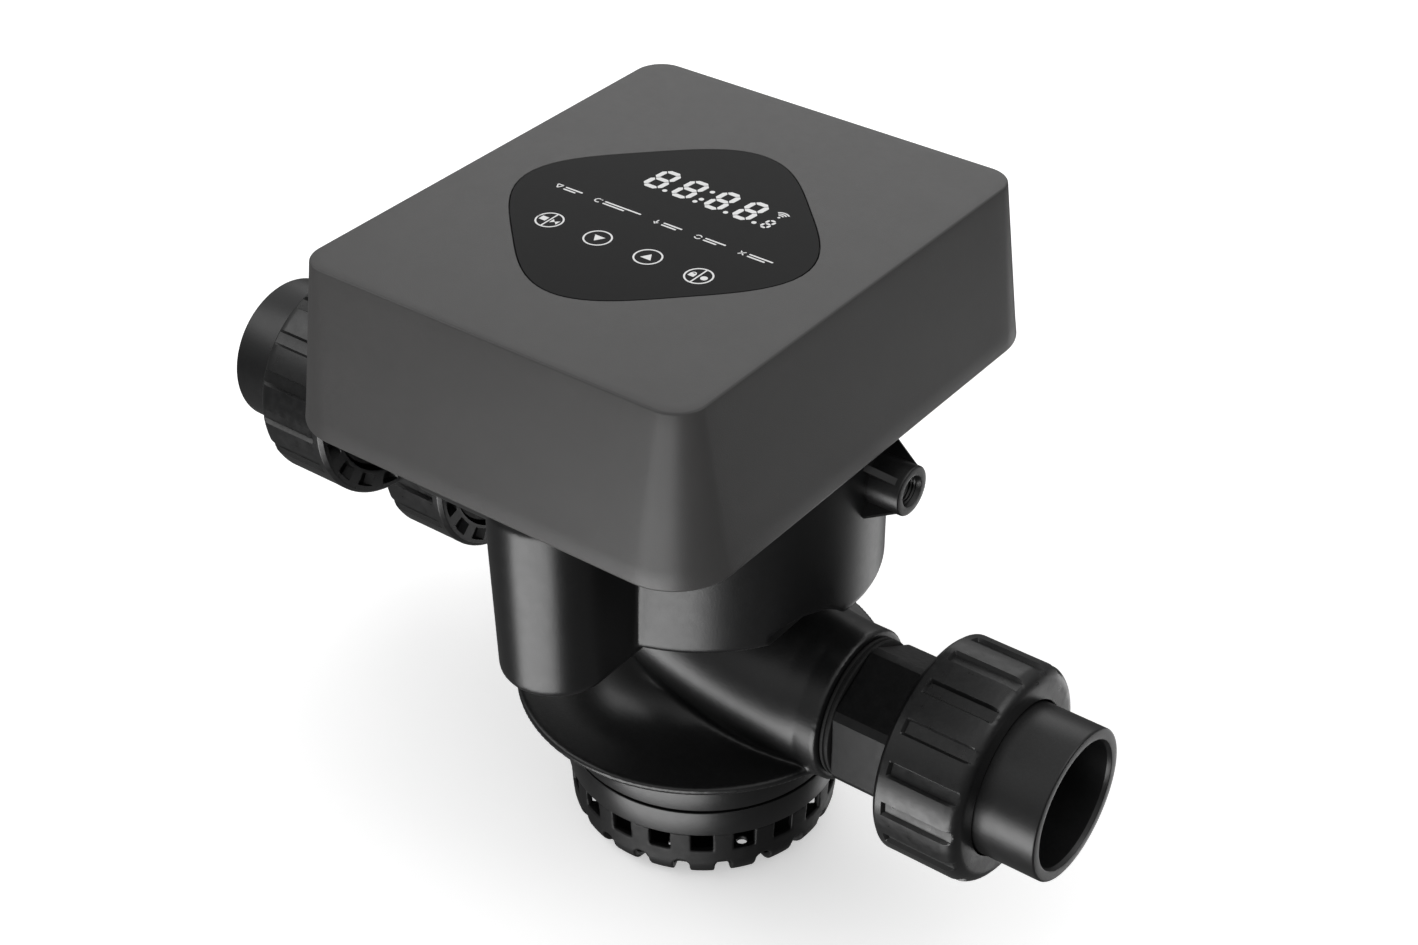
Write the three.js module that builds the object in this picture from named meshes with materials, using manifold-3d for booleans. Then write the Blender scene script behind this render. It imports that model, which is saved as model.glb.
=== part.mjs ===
// Motorised five-way valve: a square drive head on a round valve body with three pipe unions,
// a tank neck flange and a slotted diffuser basket.
// Millimetres, +Z up. The origin is the centre of the neck flange's underside, on the neck axis.
// +X is the side of the single pipe union, -Y the front of the head.

import * as THREE from "three";
import { mergeVertices } from "three/addons/utils/BufferGeometryUtils.js";
import Module from "manifold-3d";

const wasm = await Module();
wasm.setup();

// ---------------------------------------------------------------- driving dimensions

const GAP = 0.3;                 // clearance between neighbouring pieces
const RUN = 0.5;                 // running clearance across a joint

// tank neck and valve body
const FLANGE_R = 75;
const FLANGE_T = 3.6;
const NECK_R = 50;               // threaded neck below the flange
const NECK_DEPTH = 24;
const THROAT_R = 36;             // narrow part of the bell between flange and body
const BODY_R = 70;
const BODY_Z0 = 64;
const BODY_Z1 = 128;
const BODY_WALL = 8;
const FLOOR_Z = 74;              // top of the chamber floor
const BELL_TOP = BODY_Z0 - GAP;
const BELL = { rimR: 56, height: 26, steps: 3 };
const TOWER = { x: -1, y: -87, r: 22.5, z0: 59.5, floorZ: 66, wall: 3 };
const ARCH = { y: -25, z: 48.5, r: 24.5, x0: 60 };   // relief in the body's lower edge over the outlet


// pipe unions: 50 mm solvent pipe in a 61 mm socket
const PIPE_R = 25.2;
const SOCKET_R = 30.5;
const STUB_R = 31;
const SPIGOT_R = 24;
const HEX_AF = 53;
const HEX_ROUND_R = 29.6;        // bevelled corners of the hexagon
const UNION_THREAD_R = 32.6;
const NUT_R = 43.5;
const NUT_LENGTH = 35.6;
const NUT_ROUND = 8;
const GRIP_GROOVES = 16;

// each union: its axis (y, z), the direction it points along X, and where its stub ends
const UNIONS = [
  { name: "outlet", dir: 1, y: 0, z: 19.4, stubEnd: 75 },
  { name: "inlet", dir: -1, y: -15.3, z: 84.2, stubEnd: 111.5 },
  { name: "waste", dir: -1, y: 48.5, z: 19.4, stubEnd: 111.5 },
];

// cover of the drive head
const COVER = { xc: -15, yc: 0, topX: 170, topY: 204, botX: 187, botY: 222.4, z0: 136, z1: 201.5 };
const COVER_WALL = 3;
const COVER_ROOF = 4.2;
const COVER_TOP_CORNER = 11.7;
const COVER_BOTTOM_CORNER = 24;
const PANEL_APOTHEM = 53.6;      // touch panel, centre to the middle of a side
const PANEL_POWER = 3.5;         // 2 would be a circle, a large number a sharp square
const PANEL_POINTS = 48;
const PANEL_Y = -3.4;
const PANEL_T = 1.6;
const CORNER_STEPS = 5;

// drive train, module 2 mm
const GEAR_MODULE = 2;
const PINION_TEETH = 12;
const IDLER_BIG_TEETH = 30;
const IDLER_SMALL_TEETH = 10;
const DRIVE_TEETH = 48;
const GEAR_BACKLASH = 0.9;

// vertical stack
const BONNET_Z0 = BODY_Z1 + GAP;
const BONNET_Z1 = 136;
const PLATE_Z0 = BONNET_Z1 + GAP;
const PLATE_Z1 = PLATE_Z0 + 3.7;

// water ways: centre and radius of each riser through the chamber floor, then the ducts
const RISER = {
  outlet: { x: 48, y: 0, r: 10 },
  tankTop: { x: 11.5, y: 34.8, r: 9 },
  waste: { x: -35, y: 33, r: 9.5 },
  tankBottom: { x: 7, y: -20, r: 10 },
};
const OUTLET_DUCT_R = 16;
const WASTE_DUCT_R = 20;
const INLET_DUCT = { r: 17, z: 93 };
const RING = { inner: 29.2, outer: 44 };             // ring passage round the centre pipe
const STUB_BORE_DEPTH = { front: 16, side: 24 };
const SHAFT_TIP_R = 4.8;

// gauge boss
const GAUGE = { y: 15.3, z: 114.3, r: 9.8, end: 83.5, bore: 5.2 };

// diffuser basket
const COLLAR_R = 56;
const COLLAR_TOP = -GAP - 3.2;
const COLLAR_STEP_Z = -15.4;
const COLLAR_Z0 = -25.4;
const BAND = { z1: -26.1, z0: -38.2, thick: 2.8 };     // plain ring between collar and basket
const BASKET_Z0 = -64;
const BASKET_WALL = 2.6;
const BASKET_BEND = 12;
const BASKET_HOLE_R = 26.5;
const WINDOWS = 20;
const WINDOW = { width: 8.6, z0: -47.4 };              // open at the top, under the band
const NOTCH = { width: 6.6, top: -57 };

// screws: head radius and thickness, shank radius, length. The bonnet's six have holes only here.
const BONNET_SCREW = { headR: 3.9, shankR: 2 };
const PLATE_SCREW = { headR: 3.6, headT: 2.2, shankR: 1.6, length: 12 };
const COVER_SCREW = { headR: 3.8, headT: 2.6, shankR: 1.6, length: 16 };
const BONNET_SCREW_CIRCLE = 66;
const PLATE_SCREW_HALF_PITCH = 38;
const COVER_SCREW_HALF_PITCH = { x: 72, y: 92 };

// ---------------------------------------------------------------- colours

const BLACK = { color: 0x1c1d1f, roughness: 0.42, metalness: 0 };
const DARK = { color: 0x2a2b2d, roughness: 0.5, metalness: 0 };
const COVER_GREY = { color: 0x4d4c4c, roughness: 0.62, metalness: 0 };
const GLASS_BLACK = { color: 0x17181a, roughness: 0.15, metalness: 0 };
const RUBBER = { color: 0x0e0e0f, roughness: 0.85, metalness: 0 };
const NATURAL = { color: 0xd9d6cc, roughness: 0.5, metalness: 0 };
const STEEL = { color: 0xb7babd, roughness: 0.32, metalness: 1 };
const BOARD_GREEN = { color: 0x1d5a38, roughness: 0.45, metalness: 0 };

// ---------------------------------------------------------------- solids

function solid(geometry) {
  const g = geometry.clone();
  for (const key of Object.keys(g.attributes)) {
    if (key !== "position") g.deleteAttribute(key);
  }
  const merged = mergeVertices(g, 1e-4);
  const mesh = new wasm.Mesh({
    numProp: 3,
    vertProperties: new Float32Array(merged.attributes.position.array),
    triVerts: new Uint32Array(merged.index.array),
  });
  return new wasm.Manifold(mesh);
}

function geometryOf(manifold) {
  const mesh = manifold.getMesh();
  const g = new THREE.BufferGeometry();
  g.setAttribute("position", new THREE.BufferAttribute(new Float32Array(mesh.vertProperties), 3));
  g.setIndex(new THREE.BufferAttribute(new Uint32Array(mesh.triVerts), 1));
  g.computeVertexNormals();
  return g;
}

// A solid of revolution about +Z from [radius, z] points that start and end on the axis.
function turned(points, segments = 24) {
  const profile = points.map(([r, z]) => new THREE.Vector2(r, z));
  const g = new THREE.LatheGeometry(profile, segments);
  g.rotateX(Math.PI / 2);
  return outward(solid(g));
}

// A ring of revolution about +Z from a closed loop of [radius, z] points.
function turnedRing(points, segments = 24) {
  return turned([...points, points[0]], segments);
}

function outward(manifold) {
  if (manifold.volume() >= 0) return manifold;
  const mesh = manifold.getMesh();
  const tri = new Uint32Array(mesh.triVerts);
  for (let i = 0; i < tri.length; i += 3) {
    const swap = tri[i];
    tri[i] = tri[i + 1];
    tri[i + 1] = swap;
  }
  const flipped = new wasm.Mesh({ numProp: 3, vertProperties: mesh.vertProperties, triVerts: tri });
  return new wasm.Manifold(flipped);
}

function cylinder(r, z0, z1, segments = 24, x = 0, y = 0) {
  const s = turned([[0, z0], [r, z0], [r, z1], [0, z1]], segments);
  return s.translate([x, y, 0]);
}

function tube(rOut, rIn, z0, z1, segments = 24) {
  return turnedRing([[rIn, z0], [rOut, z0], [rOut, z1], [rIn, z1]], segments);
}

function block(x0, x1, y0, y1, z0, z1) {
  const g = new THREE.BoxGeometry(x1 - x0, y1 - y0, z1 - z0);
  g.translate((x0 + x1) / 2, (y0 + y1) / 2, (z0 + z1) / 2);
  return solid(g);
}

function extruded(shape, z0, z1, curveSegments = 6) {
  const g = new THREE.ExtrudeGeometry(shape, { depth: z1 - z0, bevelEnabled: false, curveSegments });
  g.translate(0, 0, z0);
  return outward(solid(g));
}

// Turns a solid built along +Z so that its axis runs along +X or -X through (y, z).
function alongX(s, dir, y, z) {
  const turnedSolid = dir > 0 ? s.rotate([0, 90, 0]) : s.rotate([0, -90, 0]);
  return turnedSolid.translate([0, y, z]);
}

const root = new THREE.Group();

function node(name, manifold, look) {
  const mesh = new THREE.Mesh(geometryOf(manifold), new THREE.MeshStandardMaterial(look));
  mesh.name = name;
  root.add(mesh);
  return mesh;
}

// ---------------------------------------------------------------- valve body
// One moulding in the real valve. It is built as a chamber, a motor well, a gauge boss, three horns, a
// bell and the two tubes of the neck, so that the collision pieces of each follow its own hollows.

// Stadium outline of the motor well, running back to `backY`.
function wellShape(backY) {
  const r = TOWER.r;
  const s = new THREE.Shape();
  s.moveTo(TOWER.x + r, backY);
  s.lineTo(TOWER.x - r, backY);
  s.lineTo(TOWER.x - r, TOWER.y);
  s.absarc(TOWER.x, TOWER.y, r, Math.PI, 2 * Math.PI, false);
  s.lineTo(TOWER.x + r, backY);
  return s;
}

function motorWell() {
  const wall = extruded(wellShape(-BODY_R + 16), TOWER.z0, BONNET_Z1, 8);
  const bore = cylinder(TOWER.r - TOWER.wall, TOWER.floorZ, BONNET_Z1 + 1, 16, TOWER.x, TOWER.y);
  const chamberSide = cylinder(BODY_R + GAP, TOWER.z0 - 1, BONNET_Z1 + 1, 40);
  return wall.subtract(bore).subtract(chamberSide);
}

// Flange and concave bell, grown outwards by `grow`, as one solid of revolution.
function bellSolid(grow) {
  const points = [
    [0, -grow], [FLANGE_R + grow, -grow], [FLANGE_R + grow, FLANGE_T + grow],
  ];
  for (let i = 0; i <= BELL.steps; i += 1) {
    const a = (i / BELL.steps) * (Math.PI / 2);
    const r = BELL.rimR - (BELL.rimR - THROAT_R) * Math.sin(a) + grow;
    const z = FLANGE_T + 2 + BELL.height * (1 - Math.cos(a)) + grow;
    points.push([r, z]);
  }
  points.push([THROAT_R + grow, BELL_TOP], [0, BELL_TOP]);
  return turned(points, 32);
}

function stub(u, from) {
  const round = 3;
  const end = u.stubEnd;
  const edge = [STUB_R - 2.5, end];
  const s = turned([[0, from], [STUB_R, from], [STUB_R, end - round], edge, [0, end]], 24);
  return alongX(s, u.dir, u.y, u.z);
}

// Socket bore that takes the spigot of a union's hexagon piece.
function stubBore(u, depth) {
  const s = cylinder(SPIGOT_R + GAP, u.stubEnd - depth, u.stubEnd + 1, 16);
  return alongX(s, u.dir, u.y, u.z);
}

function duct(r, x0, x1, y, z) {
  return alongX(cylinder(r, Math.min(x0, x1), Math.max(x0, x1), 12), 1, y, z);
}

function riser(port, z0) {
  return cylinder(port.r, z0, FLOOR_Z + 1, 10, port.x, port.y);
}

function chamber() {
  const [, inlet] = UNIONS;
  const edge = 2;
  let s = turned([
    [0, BODY_Z0], [BODY_R - edge, BODY_Z0], [BODY_R, BODY_Z0 + edge], [BODY_R, BODY_Z1], [0, BODY_Z1],
  ], 40);
  s = s.subtract(cylinder(BODY_R - BODY_WALL, FLOOR_Z, BODY_Z1 + 1, 32));
  s = s.subtract(cylinder(TOWER.r - TOWER.wall, TOWER.floorZ, BODY_Z1 + 1, 16, TOWER.x, TOWER.y));
  s = s.subtract(duct(INLET_DUCT.r, -90, -55, inlet.y, INLET_DUCT.z)).subtract(gaugeBore());
  for (const port of Object.values(RISER)) s = s.subtract(riser(port, BODY_Z0 - 1));
  s = s.subtract(alongX(cylinder(ARCH.r, ARCH.x0, BODY_R + 1, 24), 1, ARCH.y, ARCH.z));
  // blind hole for the lower end of the shaft
  s = s.subtract(cylinder(SHAFT_TIP_R + RUN, FLOOR_Z - 5, FLOOR_Z + 1, 12));
  for (const [x, y] of bonnetScrewPlaces()) {
    s = s.subtract(cylinder(BONNET_SCREW.shankR + GAP, BODY_Z1 - 14, BODY_Z1 + 1, 6, x, y));
  }
  return s;
}

// Everything inside the body's outer wall, for cutting off what stands on it.
function bodySpace() {
  return cylinder(BODY_R + GAP, 0, BODY_Z1 + 1, 40);
}

function inletHorn() {
  const [, inlet] = UNIONS;
  const s = stub(inlet, 45).subtract(bodySpace()).subtract(stubBore(inlet, STUB_BORE_DEPTH.side));
  return s.subtract(duct(INLET_DUCT.r, -90, -45, inlet.y, INLET_DUCT.z));
}

function neckBell() {
  const [outlet, , waste] = UNIONS;
  const { tankTop, tankBottom } = RISER;
  // the outlet stub's lower edge, which hangs below the flange outside the collar
  const below = block(COLLAR_R + 1.5, outlet.stubEnd, -STUB_R, STUB_R, outlet.z - STUB_R - 1, 1);
  const lowerEdge = stub(outlet, 40).intersect(below).intersect(cylinder(FLANGE_R, -STUB_R, 1, 32));
  let s = bellSolid(0).add(lowerEdge);
  // shallow recess, so that only the flange's outer ring is flat at z 0
  s = s.subtract(cylinder(COLLAR_R + 0.7, -1, GAP, 64));
  s = s.add(cylinder(tankTop.r + 4, 2, BELL_TOP, 12, tankTop.x, tankTop.y));
  s = s.subtract(stubBore(outlet, STUB_BORE_DEPTH.front)).subtract(stubBore(waste, STUB_BORE_DEPTH.side));
  return s.subtract(riser(tankTop, -1)).subtract(riser(tankBottom, -1));
}

// Threaded outer tube of the neck, and the socket inside it for the filter's centre pipe.
function neckTube() {
  return tube(NECK_R, RING.outer, -NECK_DEPTH, 0, 32);
}

function centreSocket() {
  return tube(RING.inner, PIPE_R, -NECK_DEPTH, 0, 24);
}

// Disc across the outlet horn at x, for the hulls between such sections.
function hornSection(x, r, y, z) {
  return alongX(cylinder(r, x, x + 0.1, 24), 1, y, z);
}

// Horn from the outlet stub up to the chamber floor. It widens and rises towards the chamber.
function outletHorn() {
  const [outlet] = UNIONS;
  const end = hornSection(outlet.stubEnd - 10, STUB_R, outlet.y, outlet.z);
  const middle = hornSection(30, 35, -2.8, 27);
  const inner = hornSection(-10, 38, -6, 52);
  let s = stub(outlet, outlet.stubEnd - 12);
  s = s.add(wasm.Manifold.hull([end, middle])).add(wasm.Manifold.hull([middle, inner]));
  s = s.subtract(block(-80, 80, -80, 80, BELL_TOP, 100));
  s = s.subtract(bellSolid(GAP)).subtract(block(0, outlet.stubEnd + 1, -40, 40, -40, 0));
  const { tankTop } = RISER;
  s = s.subtract(cylinder(tankTop.r + 4 + GAP, 0, BELL_TOP + 1, 12, tankTop.x, tankTop.y));
  s = s.subtract(stubBore(outlet, STUB_BORE_DEPTH.front));
  s = s.subtract(duct(OUTLET_DUCT_R, RISER.outlet.x, outlet.stubEnd - 10, outlet.y, outlet.z + 2));
  return s.subtract(riser(RISER.outlet, 18));
}

function wasteHorn() {
  const [, , waste] = UNIONS;
  let s = stub(waste, 36);
  s = s.add(cylinder(RISER.waste.r + 5, 10, BELL_TOP, 12, RISER.waste.x, RISER.waste.y));
  s = s.subtract(bellSolid(GAP));
  // nothing under the flange, where the collar and the tank's clamp are
  s = s.subtract(tube(FLANGE_R + GAP, NECK_R - 10, -40, 0.1, 32));
  s = s.subtract(stubBore(waste, STUB_BORE_DEPTH.side));
  s = s.subtract(duct(WASTE_DUCT_R, -90, RISER.waste.x - 2, waste.y, waste.z));
  return s.subtract(riser(RISER.waste, waste.z));
}

function bonnetScrewPlaces() {
  const places = [];
  for (let i = 0; i < 6; i += 1) {
    const a = (i / 6) * 2 * Math.PI + 0.12;
    places.push([BONNET_SCREW_CIRCLE * Math.cos(a), BONNET_SCREW_CIRCLE * Math.sin(a)]);
  }
  return places;
}

// Round threaded boss for a pressure gauge, stiffened by four ribs.
function gaugeBoss() {
  const start = 60;
  const ribR = GAUGE.r + 7;
  const ribTop = GAUGE.end - 2;
  const halfRib = 1.3;
  let s = cylinder(GAUGE.r, start, GAUGE.end, 16);
  for (let i = 0; i < 4; i += 1) {
    const rib = new THREE.Shape();
    rib.moveTo(0, start);
    rib.lineTo(ribR, start);
    rib.lineTo(ribR, start + 9);
    rib.lineTo(GAUGE.r - 0.6, ribTop);
    rib.lineTo(0, ribTop);
    s = s.add(extruded(rib, -halfRib, halfRib).rotate([90, 0, 0]).rotate([0, 0, 45 + 90 * i]));
  }
  return alongX(s, 1, GAUGE.y, GAUGE.z).subtract(bodySpace()).subtract(gaugeBore());
}

function gaugeBore() {
  return alongX(cylinder(GAUGE.bore, 50, GAUGE.end + 1, 10), 1, GAUGE.y, GAUGE.z);
}

// ---------------------------------------------------------------- valve internals

// Flat wheel of five spokes; the sectors between the spokes are the five port windows.
function wheel(rOut, rim, hub, spoke, z0, z1) {
  let s = tube(rOut, rOut - rim, z0, z1, 25).add(tube(hub, 6, z0, z1, 10));
  for (let i = 0; i < 5; i += 1) {
    const bar = block(hub - 1, rOut - rim + 1, -spoke / 2, spoke / 2, z0, z1);
    s = s.add(bar.rotate([0, 0, 36 + 72 * i]));
  }
  return s;
}

const PORT_PLATE_Z0 = FLOOR_Z + GAP;
const PORT_PLATE_Z1 = PORT_PLATE_Z0 + 5;
const GASKET_Z0 = PORT_PLATE_Z1 + GAP;
const GASKET_Z1 = GASKET_Z0 + 2;
const ROTOR_Z0 = GASKET_Z1 + RUN;
const ROTOR_Z1 = ROTOR_Z0 + 7;
const ROTOR_R = 57;
const ROTOR_HUB = { r: 15, top: ROTOR_Z1 + 8 };
const ROTOR_WINDOW = { inner: 19, outer: 48, halfAngle: 0.46 };
const SHAFT_R = 7;
const SHAFT_TOP = 172;
const BUSH_R = 10.1;

// Disc that covers four of the windows and opens one.
function rotor() {
  const disc = turned([
    [0, ROTOR_Z0], [ROTOR_R, ROTOR_Z0], [ROTOR_R, ROTOR_Z1],
    [ROTOR_HUB.r, ROTOR_Z1], [ROTOR_HUB.r, ROTOR_HUB.top], [0, ROTOR_HUB.top],
  ], 28);
  const { inner, outer, halfAngle } = ROTOR_WINDOW;
  const window = new THREE.Shape();
  window.absarc(0, 0, outer, -halfAngle, halfAngle, false);
  window.absarc(0, 0, inner, halfAngle, -halfAngle, true);
  const opened = disc.subtract(extruded(window, ROTOR_Z0 - 1, ROTOR_Z1 + 1));
  return opened.subtract(cylinder(SHAFT_R + GAP, ROTOR_Z0 - 1, ROTOR_HUB.top + 1, 12));
}

function spring(rMid, wire, z0, z1, turns) {
  class Helix extends THREE.Curve {
    getPoint(t, target = new THREE.Vector3()) {
      const a = t * turns * 2 * Math.PI;
      return target.set(rMid * Math.cos(a), rMid * Math.sin(a), z0 + wire + t * (z1 - z0 - 2 * wire));
    }
  }
  const section = new THREE.Shape();
  section.absarc(0, 0, wire, 0, 2 * Math.PI, false);
  const g = new THREE.ExtrudeGeometry(section, {
    steps: turns * 9,
    curveSegments: 3,
    bevelEnabled: false,
    extrudePath: new Helix(),
  });
  return outward(solid(g));
}

function shaft() {
  const foot = ROTOR_Z0 - 8;
  return turned([
    [0, foot], [SHAFT_TIP_R, foot], [SHAFT_TIP_R, ROTOR_Z0], [SHAFT_R, ROTOR_Z0],
    [SHAFT_R, SHAFT_TOP - 1], [SHAFT_R - 1, SHAFT_TOP], [0, SHAFT_TOP],
  ], 12);
}

function bonnet() {
  const spigotR = BODY_R - BODY_WALL - GAP;
  const spigotZ = BONNET_Z0 - 6;
  const bossZ = BONNET_Z0 - 14;
  let s = turned([
    [0, spigotZ], [spigotR, spigotZ], [spigotR, BONNET_Z0],
    [BODY_R - GAP, BONNET_Z0], [BODY_R - GAP, BONNET_Z1], [0, BONNET_Z1],
  ], 32);
  s = s.add(cylinder(16, bossZ, BONNET_Z0, 12));
  s = s.subtract(cylinder(BUSH_R + GAP, bossZ - 1, BONNET_Z1 + 1, 12));
  // groove for the ring seal
  s = s.subtract(tube(spigotR + 1.3, spigotR - 2.9, BONNET_Z0 - 4.2, BONNET_Z0 - 1.2, 24));
  s = s.subtract(cylinder(TOWER.r - TOWER.wall, spigotZ - 2, BONNET_Z1 + 1, 16, TOWER.x, TOWER.y));
  for (const [x, y] of bonnetScrewPlaces()) {
    s = s.subtract(cylinder(BONNET_SCREW.shankR + 2 * GAP, BONNET_Z0 - 1, BONNET_Z1 + 1, 6, x, y));
    s = s.subtract(cylinder(BONNET_SCREW.headR + 0.5, BONNET_Z1 - 4, BONNET_Z1 + 1, 6, x, y));
  }
  for (const [x, y] of plateScrewPlaces()) {
    s = s.subtract(cylinder(PLATE_SCREW.shankR + GAP, BONNET_Z1 - 7, BONNET_Z1 + 1, 6, x, y));
  }
  return s;
}

function screw({ headR, headT, shankR, length }, zTop) {
  const neck = zTop - headT;
  const tip = zTop - length;
  return turned([[0, tip], [shankR, tip], [shankR, neck], [headR, neck], [headR, zTop], [0, zTop]], 6);
}

// ---------------------------------------------------------------- head

// signs of x and y in the four quadrants, anticlockwise from the front right
const QUADRANTS = [[1, -1], [1, 1], [-1, 1], [-1, -1]];

// Tapered box with rounded corners, grown inwards by `inset`, between z0 and z1.
function taperedBox(inset, z0, z1) {
  const at = (z) => {
    const t = (z - COVER.z0) / (COVER.z1 - COVER.z0);
    const w = COVER.botX + (COVER.topX - COVER.botX) * t - 2 * inset;
    const h = COVER.botY + (COVER.topY - COVER.botY) * t - 2 * inset;
    const r = COVER_BOTTOM_CORNER + (COVER_TOP_CORNER - COVER_BOTTOM_CORNER) * t - inset;
    return { w, h, r };
  };
  const ring = (z) => {
    const { w, h, r } = at(z);
    const pts = [];
    for (const [k, [sx, sy]] of QUADRANTS.entries()) {
      for (let i = 0; i <= CORNER_STEPS; i += 1) {
        const a = THREE.MathUtils.degToRad((k - 1 + i / CORNER_STEPS) * 90);
        const x = COVER.xc + sx * (w / 2 - r) + r * Math.cos(a);
        const y = COVER.yc + sy * (h / 2 - r) + r * Math.sin(a);
        pts.push([x, y, z]);
      }
    }
    return pts;
  };
  return loft([ring(z0), ring(z1)]);
}

// Closed solid through a stack of outlines that have the same number of points.
function loft(rings) {
  const n = rings[0].length;
  const position = rings.flat(2);
  const index = [];
  for (let k = 0; k + 1 < rings.length; k += 1) {
    for (let i = 0; i < n; i += 1) {
      const a = k * n + i;
      const b = k * n + ((i + 1) % n);
      index.push(a, b, b + n, a, b + n, a + n);
    }
  }
  const last = (rings.length - 1) * n;
  for (let i = 1; i + 1 < n; i += 1) {
    index.push(0, i + 1, i);
    index.push(last, last + i, last + i + 1);
  }
  const g = new THREE.BufferGeometry();
  g.setAttribute("position", new THREE.Float32BufferAttribute(position, 3));
  g.setIndex(index);
  return outward(solid(g));
}

function coverScrewPlaces() {
  const { x, y } = COVER_SCREW_HALF_PITCH;
  return QUADRANTS.map(([sx, sy]) => [COVER.xc + sx * x, COVER.yc + sy * y]);
}

function plateScrewPlaces() {
  return QUADRANTS.map(([sx, sy]) => [sx * PLATE_SCREW_HALF_PITCH, sy * PLATE_SCREW_HALF_PITCH]);
}

// Square with softly bowed sides and large round corners, turned by 45 degrees.
function panelShape(grow) {
  const points = [];
  const side = (v) => Math.sign(v) * Math.abs(v) ** (2 / PANEL_POWER);
  for (let i = 0; i < PANEL_POINTS; i += 1) {
    const t = (i / PANEL_POINTS) * 2 * Math.PI;
    const u = (PANEL_APOTHEM + grow) * side(Math.cos(t));
    const v = (PANEL_APOTHEM + grow) * side(Math.sin(t));
    points.push(new THREE.Vector2(COVER.xc + (u - v) * Math.SQRT1_2, PANEL_Y + (u + v) * Math.SQRT1_2));
  }
  return new THREE.Shape(points);
}

function cover() {
  let s = taperedBox(0, COVER.z0, COVER.z1);
  s = s.subtract(taperedBox(COVER_WALL, COVER.z0 - 0.01, COVER.z1 - COVER_ROOF));
  for (const [x, y] of coverScrewPlaces()) {
    s = s.add(cylinder(5.5, PLATE_Z1 + GAP, COVER.z1 - 3, 8, x, y));
    s = s.subtract(cylinder(COVER_SCREW.shankR + GAP, PLATE_Z1 - 1, PLATE_Z1 + 16, 6, x, y));
  }
  s = s.subtract(extruded(panelShape(GAP), COVER.z1 - PANEL_T - GAP, COVER.z1 + 1, 6));
  return s;
}

function basePlate() {
  let s = taperedBox(COVER_WALL + RUN, PLATE_Z0, PLATE_Z1);
  const drill = (r, x, y, sides) => {
    s = s.subtract(cylinder(r, PLATE_Z0 - 1, PLATE_Z1 + 1, sides, x, y));
  };
  drill(SHAFT_R + 1.2, 0, 0, 12);
  drill(MOTOR_NOSE_R + 1, TOWER.x, TOWER.y, 16);
  drill(PIN_FOOT_R + GAP, IDLER.x, IDLER.y, 8);
  drill(GLAND.threadR + 0.4, GLAND.x, GLAND.y, 12);
  for (const [x, y] of coverScrewPlaces()) drill(COVER_SCREW.shankR + 0.7, x, y, 6);
  for (const [x, y] of plateScrewPlaces()) drill(PLATE_SCREW.shankR + 0.7, x, y, 6);
  for (const [x, y] of boardPosts()) {
    s = s.add(cylinder(3.5, PLATE_Z1 - 0.5, BOARD_Z0 - GAP, 6, x, y));
  }
  return s;
}

// ---------------------------------------------------------------- drive train

const GEAR_Z0 = 145;
const GEAR_T = 7;
const BIG_Z0 = GEAR_Z0 + GEAR_T + 3;     // larger gear of the idler
const BIG_T = 6;
const PIN_R = 3;
const PIN_FOOT_R = 2;
const MOTOR_NOSE_R = 13;
const MOTOR_TOP = PLATE_Z1 + 2.3;
const WHEEL_R = 22;
const pitchR = (teeth) => (GEAR_MODULE * teeth) / 2;

// The idler stands where both centre distances are right.
const IDLER = (() => {
  const toMotor = pitchR(PINION_TEETH) + pitchR(IDLER_BIG_TEETH);
  const toDrive = pitchR(DRIVE_TEETH) + pitchR(IDLER_SMALL_TEETH);
  const d = Math.hypot(TOWER.x, TOWER.y);
  const along = (toDrive ** 2 - toMotor ** 2 + d ** 2) / (2 * d);
  const side = Math.sqrt(toDrive ** 2 - along ** 2);
  const ux = TOWER.x / d;
  const uy = TOWER.y / d;
  return { x: ux * along - uy * side, y: uy * along + ux * side };
})();

// Spur gear outline with straight-flanked teeth, one tooth centred on angle `phase`.
function gear(teeth, z0, z1, bore, phase) {
  const rp = pitchR(teeth);
  const addendum = GEAR_MODULE * 0.85;
  const dedendum = GEAR_MODULE * 1.15;
  const flankSlope = 0.36;       // tangent of a 20 degree pressure angle
  const rTip = rp + addendum;
  const rRoot = rp - dedendum;
  const pitchAngle = (2 * Math.PI) / teeth;
  const halfAt = (r, halfWidth) => halfWidth / r;
  const widthAtPitch = (Math.PI * GEAR_MODULE) / 4 - GEAR_BACKLASH / 2;
  const s = new THREE.Shape();
  for (let i = 0; i < teeth; i += 1) {
    const a = phase + i * pitchAngle;
    const rootHalf = halfAt(rRoot, widthAtPitch + dedendum * flankSlope);
    const tipHalf = halfAt(rTip, widthAtPitch - addendum * flankSlope);
    const pts = [[rRoot, a - rootHalf], [rTip, a - tipHalf], [rTip, a + tipHalf], [rRoot, a + rootHalf]];
    for (const [r, t] of pts) {
      if (i === 0 && r === rRoot && t < a) s.moveTo(r * Math.cos(t), r * Math.sin(t));
      else s.lineTo(r * Math.cos(t), r * Math.sin(t));
    }
  }
  s.closePath();
  const body = extruded(s, z0, z1);
  return bore > 0 ? body.subtract(cylinder(bore, z0 - 1, z1 + 1, 10)) : body;
}

// Phase that puts a gap of the second gear where the first one's tooth points at it.
function meshPhase(fromX, fromY, toX, toY, fromTeeth, fromPhase, toTeeth) {
  const line = Math.atan2(toY - fromY, toX - fromX);
  const fromPitch = (2 * Math.PI) / fromTeeth;
  const toPitch = (2 * Math.PI) / toTeeth;
  const offset = (line - fromPhase) / fromPitch;
  const fraction = offset - Math.floor(offset);
  return line + Math.PI + toPitch * (fraction + 0.5);
}

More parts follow.
